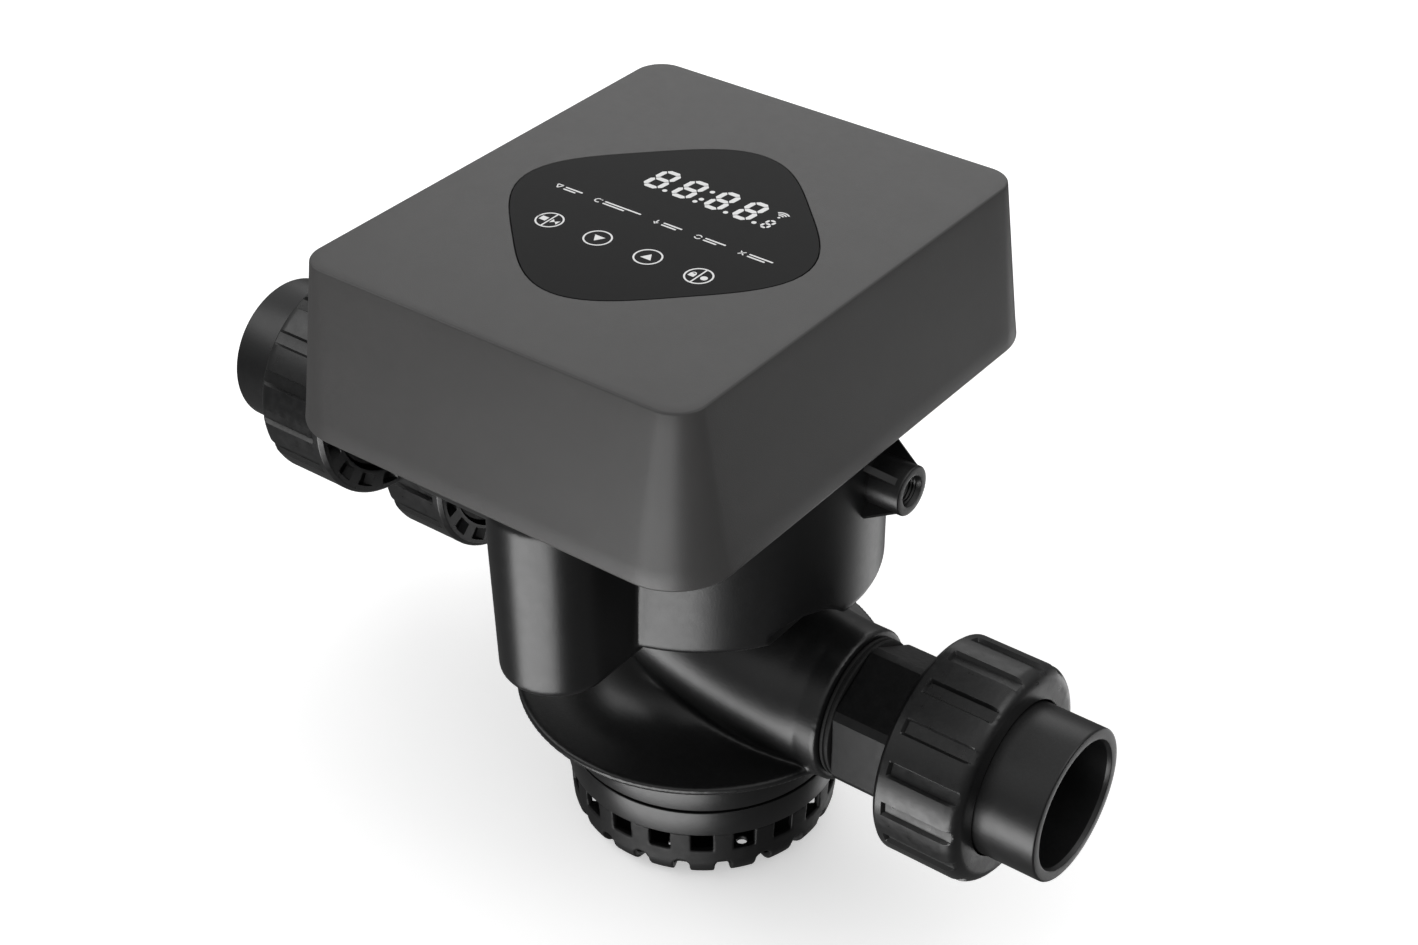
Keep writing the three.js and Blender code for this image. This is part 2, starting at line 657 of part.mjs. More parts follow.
function gearmotor() {
  let s = cylinder(TOWER.r - TOWER.wall - 1.2, 68, PLATE_Z0 - 2 * GAP, 24, TOWER.x, TOWER.y);
  s = s.add(cylinder(MOTOR_NOSE_R, PLATE_Z0 - 1, MOTOR_TOP, 16, TOWER.x, TOWER.y));
  s = s.add(cylinder(PIN_R, PLATE_Z1, BIG_Z0 + BIG_T + 4, 10, TOWER.x, TOWER.y));
  return s;
}

function idlerGear() {
  const phaseSmall = meshPhase(0, 0, IDLER.x, IDLER.y, DRIVE_TEETH, 0, IDLER_SMALL_TEETH);
  const small = gear(IDLER_SMALL_TEETH, GEAR_Z0, BIG_Z0 + 1, 0, phaseSmall);
  const big = gear(IDLER_BIG_TEETH, BIG_Z0, BIG_Z0 + BIG_T, 0, 0);
  const s = small.add(big).subtract(cylinder(PIN_R + RUN, GEAR_Z0 - 1, BIG_Z0 + BIG_T + 2, 10));
  return s.translate([IDLER.x, IDLER.y, 0]);
}

function idlerPin() {
  const foot = PLATE_Z0 + 0.5;
  const shoulder = PLATE_Z1 + GAP;
  const top = BIG_Z0 + BIG_T + 3;
  const s = turned([
    [0, foot], [PIN_FOOT_R, foot], [PIN_FOOT_R, shoulder], [PIN_R, shoulder], [PIN_R, top], [0, top],
  ], 18);
  return s.translate([IDLER.x, IDLER.y, 0]);
}

function motorPinion() {
  const phase = meshPhase(IDLER.x, IDLER.y, TOWER.x, TOWER.y, IDLER_BIG_TEETH, 0, PINION_TEETH);
  const s = gear(PINION_TEETH, BIG_Z0 - 1.5, BIG_Z0 + BIG_T + 1, PIN_R + RUN, phase);
  return s.translate([TOWER.x, TOWER.y, 0]);
}

function driveGear() {
  let s = gear(DRIVE_TEETH, GEAR_Z0, GEAR_Z0 + GEAR_T, 0, 0);
  s = s.add(cylinder(13, GEAR_Z0 - 3, GEAR_Z0 + GEAR_T + 2, 12));
  const holeCircle = 28;
  for (let i = 0; i < 5; i += 1) {
    const hole = cylinder(9, GEAR_Z0 - 1, GEAR_Z0 + GEAR_T + 1, 8, holeCircle, 0);
    s = s.subtract(hole.rotate([0, 0, 72 * i]));
  }
  return s.subtract(cylinder(SHAFT_R + GAP, GEAR_Z0 - 4, GEAR_Z0 + GEAR_T + 4, 12));
}

// Notched disc that tells the sensor which of the five ports is open.
function positionWheel() {
  const z0 = GEAR_Z0 + GEAR_T + 2 + GAP;
  const z1 = z0 + 2.4;
  let s = tube(WHEEL_R, SHAFT_R + GAP, z0, z1, 24).add(tube(11, SHAFT_R + GAP, z0, z0 + 6, 12));
  for (let i = 0; i < 5; i += 1) {
    const notch = block(WHEEL_R - 4, WHEEL_R + 2, -1.6, 1.6, z0 - 1, z1 + 1);
    s = s.subtract(notch.rotate([0, 0, 72 * i]));
  }
  return s;
}

// Sensor over the notched rim, on a bracket that stands on the base plate outside the drive gear.
function positionSensor() {
  const boardZ = BIG_Z0 + BIG_T;
  const outerX = 57;
  const half = 7;
  const sensor = block(WHEEL_R - 6, WHEEL_R + 5, -5, 5, boardZ - 3.6, boardZ + 0.5);
  const board = block(WHEEL_R - 8, outerX, -half, half, boardZ, boardZ + BOARD.t);
  const leg = block(outerX - 5, outerX, -half, half, PLATE_Z1 + GAP, boardZ + 1);
  return sensor.add(board).add(leg);
}

// ---------------------------------------------------------------- electronics

const BOARD_Z0 = PLATE_Z1 + 6;
const BOARD = { x0: -76, x1: 46, y0: 58, y1: 98, t: 1.6 };
const GLAND = { x: -60, y: 83, threadR: 7.8, nutR: 11.5, cableR: 4.2, z0: 109.5 };

function boardPosts() {
  const inset = 5;
  const xs = [BOARD.x0 + inset, BOARD.x1 - inset];
  const ys = [BOARD.y0 + inset, BOARD.y1 - inset];
  return xs.flatMap((x) => ys.map((y) => [x, y]));
}

function controlBoard() {
  const seat = BOARD_Z0 + 1;
  let s = block(BOARD.x0, BOARD.x1, BOARD.y0, BOARD.y1, BOARD_Z0, BOARD_Z0 + BOARD.t);
  const chip = block(-20, 8, 64, 84, seat, BOARD_Z0 + 6);
  const relay = block(14, 30, 62, 74, seat, BOARD_Z0 + 12);
  const capacitor = cylinder(5, seat, BOARD_Z0 + 16, 10, 40, 68);
  s = s.add(chip).add(relay).add(capacitor);
  return s.subtract(cylinder(GLAND.threadR + 1.2, BOARD_Z0 - 1, BOARD_Z0 + 3, 10, GLAND.x, GLAND.y));
}

function terminalBlock() {
  return block(-74, -30, 60, 69, BOARD_Z0 + BOARD.t + GAP, BOARD_Z0 + 14);
}

// Board of the touch panel, with the number display on top.
function displayBoard() {
  const z0 = COVER.z1 - 8;
  const x = COVER.xc;
  const y = PANEL_Y;
  const board = block(x - 50, x + 50, y - 34, y + 34, z0, z0 + BOARD.t);
  const display = block(x - 28, x + 34, y + 2, y + 26, z0 + BOARD.t - 0.1, z0 + 3.4);
  return board.add(display);
}

// Cable gland: a threaded tube through the base plate with a hexagon below, and its cap nut.
function powerGland() {
  const thread = tube(GLAND.threadR, 5, 124, PLATE_Z1 + 4, 12);
  const hexagon = tube(12, 5, PLATE_Z0 - 6, PLATE_Z0 - GAP, 6);
  return thread.add(hexagon).translate([GLAND.x, GLAND.y, 0]);
}

function powerGlandNut() {
  const { nutR, threadR, cableR, z0 } = GLAND;
  const skirt = tube(nutR, threadR + 0.4, z0 + 2.5, 129, 12);
  const face = tube(nutR, cableR, z0, z0 + 3.5, 12);
  return skirt.add(face).translate([GLAND.x, GLAND.y, 0]);
}

// ---------------------------------------------------------------- unions

function hexShape(af) {
  const s = new THREE.Shape();
  for (let i = 0; i < 6; i += 1) {
    const a = i * (Math.PI / 3);
    const r = af / 2 / Math.cos(Math.PI / 6);
    if (i === 0) s.moveTo(r * Math.cos(a), r * Math.sin(a));
    else s.lineTo(r * Math.cos(a), r * Math.sin(a));
  }
  s.closePath();
  return s;
}

// All union pieces are built with x = 0 at the stub's end face and pointing along +Z.
const HEX_START = 4.4;
const NUT_START = 33.6;
const FACE = 53;                 // end face of the hexagon piece
const ORING_SEAT_R = 28.4;
const TAIL_BORE_R = 19.5;
const TAIL_END = NUT_START + 60.7;
const SOCKET_COLLAR_T = 5;
const PIPE_DEPTH = 31;
const GROOVE = { depth: 1.3, half: 1.9 };

function tailpiece() {
  const hexEnd = 36.2;
  const tip = -14;
  const bevel = turned([
    [0, HEX_START], [HEX_ROUND_R - 2, HEX_START], [HEX_ROUND_R, HEX_START + 1.5],
    [HEX_ROUND_R, hexEnd + 4], [0, hexEnd + 4],
  ], 24);
  const spigot = turned([
    [0, tip], [SPIGOT_R - 1, tip], [SPIGOT_R, tip + 2], [SPIGOT_R, HEX_START + 1], [0, HEX_START + 1],
  ], 16);
  let s = extruded(hexShape(HEX_AF), HEX_START, hexEnd).intersect(bevel);
  s = s.add(cylinder(UNION_THREAD_R, hexEnd - 0.2, FACE, 24)).add(spigot);
  s = s.subtract(cylinder(TAIL_BORE_R, tip - 1, FACE + 1, 16));
  return s.subtract(cylinder(ORING_SEAT_R, FACE - 2, FACE + 1, 20));
}

function socket() {
  const z0 = FACE + RUN;
  const z1 = TAIL_END;
  const collarR = UNION_THREAD_R - 0.2;
  const collarZ = z0 + SOCKET_COLLAR_T;
  const boreR = 22;
  return turnedRing([
    [boreR, z0], [collarR, z0], [collarR, collarZ], [SOCKET_R, collarZ], [SOCKET_R, z1 - 1],
    [SOCKET_R - 1, z1], [PIPE_R, z1], [PIPE_R, z1 - PIPE_DEPTH], [boreR, z1 - PIPE_DEPTH],
  ], 24);
}

function unionNut() {
  const z0 = NUT_START;
  const z1 = NUT_START + NUT_LENGTH;
  const threadR = UNION_THREAD_R + RUN;
  const shoulderZ = FACE + RUN + SOCKET_COLLAR_T + RUN;
  const outline = [[threadR, z0], [NUT_R - 1.4, z0], [NUT_R, z0 + 1.5]];
  const steps = 2;
  for (let i = 0; i <= steps; i += 1) {
    const a = (i / steps) * (Math.PI / 2);
    outline.push([NUT_R - NUT_ROUND * (1 - Math.cos(a)), z1 - NUT_ROUND + NUT_ROUND * Math.sin(a)]);
  }
  outline.push([SOCKET_R + RUN, z1], [SOCKET_R + RUN, shoulderZ], [threadR, shoulderZ]);
  let s = turnedRing(outline, 32);
  for (let i = 0; i < GRIP_GROOVES; i += 1) {
    const cut = block(NUT_R - GROOVE.depth, NUT_R + 2, -GROOVE.half, GROOVE.half, z0 + 5, z1 + 1);
    s = s.subtract(cut.rotate([0, 0, (360 / GRIP_GROOVES) * i]));
  }
  return s;
}

function ringSeal(rMid, section, z, segments = 20) {
  const points = [];
  for (let i = 0; i < 4; i += 1) {
    const a = (i / 4) * 2 * Math.PI;
    points.push([rMid + section * Math.cos(a), z + section * Math.sin(a)]);
  }
  return turnedRing(points, segments);
}

function placeUnion(u) {
  const put = (s) => alongX(s.translate([0, 0, u.stubEnd]), u.dir, u.y, u.z);
  node(`${u.name}_hex_tailpiece`, put(tailpiece()), BLACK);
  node(`${u.name}_thread_seal`, put(tube(28.4, SPIGOT_R + GAP, GAP, HEX_START - GAP, 20)), RUBBER);
  node(`${u.name}_union_oring`, put(ringSeal(25.8, 1, FACE - 0.7)), RUBBER);
  node(`${u.name}_pipe_socket`, put(socket()), BLACK);
  node(`${u.name}_union_nut`, put(unionNut()), BLACK);
}

// ---------------------------------------------------------------- neck and basket

function neckCollar() {
  const bore = NECK_R + GAP;
  const waist = COLLAR_R - 0.9;
  return turnedRing([
    [bore, COLLAR_TOP], [COLLAR_R, COLLAR_TOP], [COLLAR_R, COLLAR_STEP_Z + GAP],
    [waist, COLLAR_STEP_Z], [waist, COLLAR_Z0], [bore, COLLAR_Z0],
  ], 32);
}

function basketBand() {
  const { z0, z1, thick } = BAND;
  return turnedRing([
    [COLLAR_R - thick, z0], [COLLAR_R - 0.3, z0], [COLLAR_R, z1], [COLLAR_R - thick, z1],
  ], 32);
}

function basket() {
  const top = BAND.z0 - GAP;
  const lower = COLLAR_R - 1.6;
  const outer = [[COLLAR_R - 1, top], [lower, BASKET_Z0 + BASKET_BEND]];
  for (let i = 1; i <= 2; i += 1) {
    const a = (i / 2) * (Math.PI / 2);
    outer.push([lower - BASKET_BEND * (1 - Math.cos(a)), BASKET_Z0 + BASKET_BEND * (1 - Math.sin(a))]);
  }
  const floor = BASKET_Z0 + BASKET_WALL;
  const inner = outer.map(([r, z]) => [r - BASKET_WALL, Math.max(z, floor)]);
  let s = turnedRing([...outer, [BASKET_HOLE_R, BASKET_Z0], [BASKET_HOLE_R, floor], ...inner.reverse()], 40);
  const window = block(46, COLLAR_R + 4, -WINDOW.width / 2, WINDOW.width / 2, WINDOW.z0, top + 1);
  const notch = block(44, COLLAR_R + 4, -NOTCH.width / 2, NOTCH.width / 2, BASKET_Z0 - 1, NOTCH.top);
  for (let i = 0; i < WINDOWS; i += 1) {
    s = s.subtract(window.rotate([0, 0, (360 / WINDOWS) * i]));
    s = s.subtract(notch.rotate([0, 0, (360 / WINDOWS) * (i + 0.5)]));
  }
  return s;
}

// ---------------------------------------------------------------- assembly

node("valve_body", chamber(), BLACK);
node("motor_well", motorWell(), BLACK);
node("inlet_horn", inletHorn(), BLACK);
node("gauge_boss", gaugeBoss(), BLACK);
node("neck_bell", neckBell(), BLACK);
node("neck_tube", neckTube(), BLACK);
node("centre_socket", centreSocket(), BLACK);
node("outlet_horn", outletHorn(), BLACK);
node("waste_horn", wasteHorn(), BLACK);
node("port_plate", wheel(60, 9, 14, 12, PORT_PLATE_Z0, PORT_PLATE_Z1), NATURAL);
node("spider_gasket", wheel(57, 5, 12, 6, GASKET_Z0, GASKET_Z1), RUBBER);
node("rotor", rotor(), NATURAL);
node("rotor_shaft", shaft(), STEEL);
node("rotor_spring", spring(12, 1.3, ROTOR_HUB.top + GAP, BONNET_Z0 - 14 - RUN, 4), STEEL);
node("bonnet", bonnet(), BLACK);
node("bonnet_oring", ringSeal(BODY_R - BODY_WALL - 1.7, 1.1, BONNET_Z0 - 2.7, 24), RUBBER);
node("shaft_bush", tube(BUSH_R, SHAFT_R + RUN, BONNET_Z0 - 13, BONNET_Z1 - 4, 12), NATURAL);
node("base_plate", basePlate(), DARK);
plateScrewPlaces().forEach(([x, y], i) => {
  const s = screw(PLATE_SCREW, PLATE_Z1 + PLATE_SCREW.headT + GAP);
  node(`base_plate_screw_${i + 1}`, s.translate([x, y, 0]), STEEL);
});
node("cover", cover(), COVER_GREY);
node("touch_panel", extruded(panelShape(0), COVER.z1 - PANEL_T, COVER.z1, 6), GLASS_BLACK);
node("display_board", displayBoard(), BOARD_GREEN);
coverScrewPlaces().forEach(([x, y], i) => {
  const upright = screw(COVER_SCREW, 0).rotate([180, 0, 0]);
  node(`cover_screw_${i + 1}`, upright.translate([x, y, PLATE_Z0 - COVER_SCREW.headT - GAP]), STEEL);
});

node("gearmotor", gearmotor(), STEEL);
node("motor_pinion", motorPinion(), STEEL);
node("idler_gear", idlerGear(), NATURAL);
node("idler_pin", idlerPin(), STEEL);
node("drive_gear", driveGear(), NATURAL);
node("position_wheel", positionWheel(), DARK);
node("position_sensor", positionSensor(), BOARD_GREEN);
node("control_board", controlBoard(), BOARD_GREEN);
node("terminal_block", terminalBlock(), DARK);
node("power_gland", powerGland(), DARK);
node("power_gland_nut", powerGlandNut(), DARK);

UNIONS.forEach(placeUnion);

node("flange_oring", ringSeal(52.8, 1.2, -1.7), RUBBER);
node("neck_collar", neckCollar(), BLACK);
node("basket_band", basketBand(), BLACK);
node("diffuser_basket", basket(), BLACK);

export default root;
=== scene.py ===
import math
import random

import bmesh
import bpy
import numpy as np
import openvdb
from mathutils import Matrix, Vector


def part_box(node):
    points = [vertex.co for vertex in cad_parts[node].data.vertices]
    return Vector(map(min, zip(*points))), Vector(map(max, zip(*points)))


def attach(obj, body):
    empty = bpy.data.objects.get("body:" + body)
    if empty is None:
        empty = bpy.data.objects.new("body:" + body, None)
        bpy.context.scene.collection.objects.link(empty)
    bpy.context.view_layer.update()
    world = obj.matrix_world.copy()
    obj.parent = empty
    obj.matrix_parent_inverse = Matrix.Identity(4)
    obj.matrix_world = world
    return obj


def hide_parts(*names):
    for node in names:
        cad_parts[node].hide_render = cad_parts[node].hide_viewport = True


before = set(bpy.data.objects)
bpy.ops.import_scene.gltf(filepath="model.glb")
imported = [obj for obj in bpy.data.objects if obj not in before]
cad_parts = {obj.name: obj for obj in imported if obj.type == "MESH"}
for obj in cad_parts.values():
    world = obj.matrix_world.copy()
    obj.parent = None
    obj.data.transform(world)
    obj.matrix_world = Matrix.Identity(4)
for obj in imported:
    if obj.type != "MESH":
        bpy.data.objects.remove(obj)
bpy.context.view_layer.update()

MM = 0.001
TURN = 2 * math.pi
rng = random.Random(7)

# ------------------------------------------------------------------ dimensions, mm, as in the CAD
# name, direction along X, y, z, and how far out the valve's stub ends
UNIONS = (("outlet", 1, 0.0, 19.4, 75.0), ("inlet", -1, -15.3, 84.2, 111.5), ("waste", -1, 48.5, 19.4, 111.5))
OUTLET, INLET, WASTE = UNIONS
# places along a union, counted from the end of its stub
HEX_START, NUT_START, FACE, TAIL_END = 4.4, 33.6, 53.0, 94.3
HEX_END = 36.1
HEX_FLAT, HEX_CORNER = 26.5, 29.6
HEX_SIDE = math.radians(60)
UNION_BORE_R = 19.5
UNION_PITCH = 5.0
NUT_LENGTH, NUT_R = 35.6, 43.5
NUT_THREAD_R = 33.1
STUB_R, STUB_BORE_R = 31, 24.3
FLANGE_R, FLANGE_THICK = 75, 3.6
NECK_R, NECK_DEPTH = 50, 24
RING_PASSAGE = (29.2, 44)
CENTRE_PIPE_R = 25.2
COLLAR_R = 56
DRUM_R, DRUM_Z0, DRUM_Z1 = 70, 64.4, 128
# upright water ways beside the throat: x, y, outside radius, fillet to its neighbours
RISERS = ((12, 36, 16, 10), (-31, 30, 18, 12))
RISER_BORE_R = 11
GAUGE_Y, GAUGE_Z = 15.3, 114.3
BASKET_TOP, BASKET_Z0 = -38.5, -64
WINDOWS = 20
COVER = dict(xc=-15, yc=0, top=(170, 204), bot=(187, 222.4), z0=136.0, z1=201.5, corner=(24, 11.7), wall=3.0)
PANEL = dict(half=53.6, power=3.5, y=-3.4, thick=1.6)
# motor tower: x, y, outside radius, and the radius of the well inside
TOWER = (-1.0, -87.0, 22.5)
MOTOR_WELL_R = 19.5
GLAND = (-60, 83)
BONNET_SCREWS = dict(count=6, circle=66, phase=0.12, r=3.9, z0=117.6, z1=135.6, head=3.0, shank=1.95)
FLOOR_Z = -0.0642


# ------------------------------------------------------------------ materials
def node(tree, kind, **inputs):
    """Adds a shader node and sets its sockets by name."""
    n = tree.nodes.new("ShaderNode" + kind)
    for key, value in inputs.items():
        n.inputs[key.replace("_", " ")].default_value = value
    return n


def noise(tree, coord, scale, detail=3.0, rough=0.55):
    """Noise over the given coordinates."""
    n = node(tree, "TexNoise", Scale=scale, Detail=detail, Roughness=rough)
    tree.links.new(coord, n.inputs["Vector"])
    return n.outputs["Fac"]


def ramp(tree, value, low, high, to_low, to_high):
    """Maps value from low..high to to_low..to_high."""
    n = node(tree, "MapRange", From_Min=low, From_Max=high, To_Min=to_low, To_Max=to_high)
    tree.links.new(value, n.inputs["Value"])
    return n.outputs["Result"]


DUST_GREY = (0.3, 0.3, 0.3, 1)


def material(name, base, rough, grain=2200.0, bump=0.05, vary=0.18, rough_vary=0.06, metal=0.0,
             specular=0.5, dust=0.0, brushed=None, coat=0.0):
    """Moulded or metal surface: fine grain in the bump, slow drift in colour and gloss, dust on top."""
    m = bpy.data.materials.new("look_" + name)
    m.use_nodes = True
    t = m.node_tree
    shader = t.nodes["Principled BSDF"]
    shader.inputs["Metallic"].default_value = metal
    shader.inputs["Specular IOR Level"].default_value = specular
    shader.inputs["Coat Weight"].default_value = coat
    shader.inputs["Coat Roughness"].default_value = 0.08
    place = t.nodes.new("ShaderNodeTexCoord").outputs["Object"]
    if brushed:
        mapping = node(t, "Mapping", Scale=brushed)
        t.links.new(place, mapping.inputs["Vector"])
        place = mapping.outputs["Vector"]
    drift = noise(t, place, 38.0, 4.0)
    cloud = noise(t, place, 260.0, 3.0)
    fine = noise(t, place, grain, 2.0, 0.6)
    mix = t.nodes.new("ShaderNodeMix")
    mix.data_type = "RGBA"
    lift = [min(1.0, c * (1 + vary)) for c in base]
    drop = [c * (1 - vary) for c in base]
    mix.inputs["A"].default_value = (*drop, 1)
    mix.inputs["B"].default_value = (*lift, 1)
    both = node(t, "Math")
    both.operation = "MULTIPLY_ADD"
    t.links.new(cloud, both.inputs[0])
    both.inputs[1].default_value = 0.4
    t.links.new(ramp(t, drift, 0.35, 0.65, 0.0, 0.6), both.inputs[2])
    t.links.new(both.outputs[0], mix.inputs["Factor"])
    colour = mix.outputs["Result"]
    if dust:
        colour = dusted(t, place, colour, dust)
    t.links.new(colour, shader.inputs["Base Color"])
    t.links.new(ramp(t, cloud, 0.3, 0.7, rough - rough_vary, rough + rough_vary), shader.inputs["Roughness"])
    relief = node(t, "Bump", Strength=bump, Distance=0.0004)
    t.links.new(fine, relief.inputs["Height"])
    t.links.new(relief.outputs["Normal"], shader.inputs["Normal"])
    return m


def dusted(t, place, colour, dust):
    """The colour with specks of dust where the surface faces up."""
    normal = t.nodes.new("ShaderNodeNewGeometry").outputs["Normal"]
    up = t.nodes.new("ShaderNodeSeparateXYZ")
    t.links.new(normal, up.inputs[0])
    amount = node(t, "Math")
    amount.operation = "MULTIPLY"
    t.links.new(ramp(t, up.outputs["Z"], 0.2, 1.0, 0.0, dust), amount.inputs[0])
    t.links.new(ramp(t, noise(t, place, 900.0, 5.0, 0.7), 0.45, 0.75, 0.0, 1.0), amount.inputs[1])
    over = t.nodes.new("ShaderNodeMix")
    over.data_type = "RGBA"
    t.links.new(amount.outputs[0], over.inputs["Factor"])
    t.links.new(colour, over.inputs["A"])
    over.inputs["B"].default_value = DUST_GREY
    return over.outputs["Result"]


BLACK = material("body_black", (0.0052, 0.0053, 0.0055), 0.34, grain=1500.0, bump=0.08, vary=0.1,
                 rough_vary=0.02, dust=0.02, specular=0.48)
NUT_BLACK = material("nut_black", (0.0055, 0.0056, 0.0058), 0.33, grain=1800.0, bump=0.07, dust=0.03,
                     specular=0.52)
HEX_BLACK = material("hex_black", (0.0055, 0.0056, 0.0058), 0.42, grain=1800.0, bump=0.09, dust=0.02,
                     specular=0.26)
BASKET_BLACK = material("basket_black", (0.0042, 0.0042, 0.0044), 0.5, grain=1500.0, bump=0.1, specular=0.24)
COVER_GREY = material("cover_grey", (0.0535, 0.0524, 0.0520), 0.40, grain=2600.0, bump=0.16, vary=0.05,
                      rough_vary=0.02, specular=0.42, dust=0.015)
PANEL_BLACK = material("panel_black", (0.0034, 0.0034, 0.0036), 0.36, grain=5200.0, bump=0.015, vary=0.02,
                       rough_vary=0.006, specular=0.07)
INK = material("panel_ink", (0.86, 0.86, 0.86), 0.5, grain=2500.0, bump=0.03, vary=0.03)
RUBBER = material("seal_rubber", (0.007, 0.007, 0.007), 0.7, grain=1200.0, bump=0.25, specular=0.3)
NYLON = material("gear_nylon", (0.66, 0.62, 0.53), 0.42, grain=900.0, bump=0.08, vary=0.05)
BOARD = material("circuit_board", (0.012, 0.085, 0.035), 0.3, grain=700.0, bump=0.15, vary=0.3, coat=0.3)
DARK = material("dark_plastic", (0.022, 0.022, 0.024), 0.48, grain=1500.0, bump=0.15, dust=0.04)
STEEL = material("steel", (0.58, 0.585, 0.6), 0.3, grain=900.0, bump=0.12, vary=0.08, metal=1.0,
                 brushed=(1.0, 1.0, 14.0))
COPPER = material("tinned_pads", (0.62, 0.6, 0.55), 0.35, metal=1.0, bump=0.05, vary=0.06)
CHIP = material("chip_epoxy", (0.014, 0.014, 0.015), 0.55, bump=0.2)
SLEEVE = material("capacitor_sleeve", (0.02, 0.035, 0.09), 0.35, bump=0.05)


# ------------------------------------------------------------------ mesh helpers
def piece(name, verts, faces, look, body, stands_for=(), slot=None, sharp=32.0, weld=True):
    """Makes a mesh object from millimetres, tidies it, and puts it on its CAD body."""
    mesh = bpy.data.meshes.new(name)
    mesh.from_pydata((np.asarray(verts, dtype=float) * MM).tolist(), [], faces)
    if weld:
        bm = bmesh.new()
        bm.from_mesh(mesh)
        bmesh.ops.remove_doubles(bm, verts=bm.verts, dist=2e-6)
        bmesh.ops.dissolve_degenerate(bm, edges=bm.edges, dist=1e-7)
        bmesh.ops.recalc_face_normals(bm, faces=bm.faces)
        bm.to_mesh(mesh)
        bm.free()
    mesh.polygons.foreach_set("use_smooth", [True] * len(mesh.polygons))
    mesh.set_sharp_from_angle(angle=math.radians(sharp))
    mesh.materials.append(look)
    obj = bpy.data.objects.new(name, mesh)
    bpy.context.scene.collection.objects.link(obj)
    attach(obj, body)
    if stands_for:
        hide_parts(*stands_for)
    return obj


def fillet(points, steps=4):
    """Closed outline of (x, y, radius) corners with each corner rounded by its radius."""
    out = []
    n = len(points)
    for i, (x, y, radius) in enumerate(points):
        p = np.array((x, y), float)
        before = np.array(points[i - 1][:2], float) - p
        after = np.array(points[(i + 1) % n][:2], float) - p
        la, lb = np.linalg.norm(before), np.linalg.norm(after)
        if radius <= 0 or la < 1e-9 or lb < 1e-9:
            out.append((x, y))
            continue
        da, db = before / la, after / lb
        half = math.acos(float(np.clip(da @ db, -1, 1))) / 2
        if half > math.radians(88):
            out.append((x, y))
            continue
        cut = min(radius / math.tan(half), 0.49 * la, 0.49 * lb)
        middle = (da + db) / np.linalg.norm(da + db)
        centre = p + middle * (cut / math.cos(half))
        a0 = math.atan2(*(p + da * cut - centre)[::-1])
        a1 = math.atan2(*(p + db * cut - centre)[::-1])
        sweep = (a1 - a0 + math.pi) % TURN - math.pi
        r = cut * math.tan(half)
        for k in range(steps + 1):
            a = a0 + sweep * k / steps
            out.append((centre[0] + r * math.cos(a), centre[1] + r * math.sin(a)))
    return out


def even(n, phase=0.0):
    """n angles spread evenly over a turn."""
    return [phase + TURN * i / n for i in range(n)]


def lathe(profile, angles, warp=None, closed=True):
    """Turns (radius, height) points about the third axis. warp(angle, r, h) may move them."""
    t, r = np.meshgrid(np.asarray(angles, float), [p[0] for p in profile], indexing="ij")
    h = np.broadcast_to([float(p[1]) for p in profile], r.shape)
    if warp:
        r, h = warp(t, r, h)
    verts = np.stack([r * np.cos(t), r * np.sin(t), h], -1).reshape(-1, 3)
    n, m = len(angles), len(profile)
    faces = []
    for i in range(n):
        k = (i + 1) % n
        for j in range(m if closed else m - 1):
            l = (j + 1) % m
            faces.append((i * m + j, k * m + j, k * m + l, i * m + l))
    return verts, faces


def along_x(verts, direction, start, y, z):
    """Stands a shape built along its third axis on the X axis through (y, z)."""
    v = np.asarray(verts, float)
    return np.stack([direction * (v[:, 2] + start), y + direction * v[:, 1], z + v[:, 0]], 1)


def ring_faces(n, count, base=0):
    """Quads between each of count rings of n points and the next."""
    faces = []
    for k in range(count - 1):
        low, high = base + k * n, base + (k + 1) * n
        faces += [(low + i, low + (i + 1) % n, high + (i + 1) % n, high + i) for i in range(n)]
    return faces


def stacked(rings):
    """Vertices of outlines, each at its own height."""
    return np.concatenate([np.c_[p, np.full(len(p), z)] for p, z in rings])


def joined(*parts):
    """Several (vertices, faces) parts as one."""
    verts, faces, base = [], [], 0
    for v, f in parts:
        verts.append(np.asarray(v, float).reshape(-1, 3))
        faces += [tuple(i + base for i in face) for face in f]
        base += len(verts[-1])
    return np.concatenate(verts), faces


def slab(base, z0, z1, bevel=0.0):
    """Prism over an outline, its top edge bevelled towards the outline's centre."""
    p = np.asarray(base, float)
    rings = [(p, z0), (p, z1 - bevel)]
    if bevel:
        size = np.abs(p - p.mean(0)).max()
        rings.append((p.mean(0) + (p - p.mean(0)) * (1 - bevel / size), z1))
    n = len(p)
    faces = [tuple(range(n))[::-1], tuple(range((len(rings) - 1) * n, len(rings) * n))]
    return stacked(rings), faces + ring_faces(n, len(rings))


def rounded_box(x0, x1, y0, y1, z0, z1, r=0.6, bevel=0.3):
    """Box with its upright edges rounded and its top edge bevelled."""
    corners = fillet([(x0, y0, r), (x1, y0, r), (x1, y1, r), (x0, y1, r)], 3)
    return slab(corners, z0, z1, bevel)


def moved(part, x, y):
    """A (vertices, faces) part shifted across."""
    return np.asarray(part[0]) + (x, y, 0), part[1]


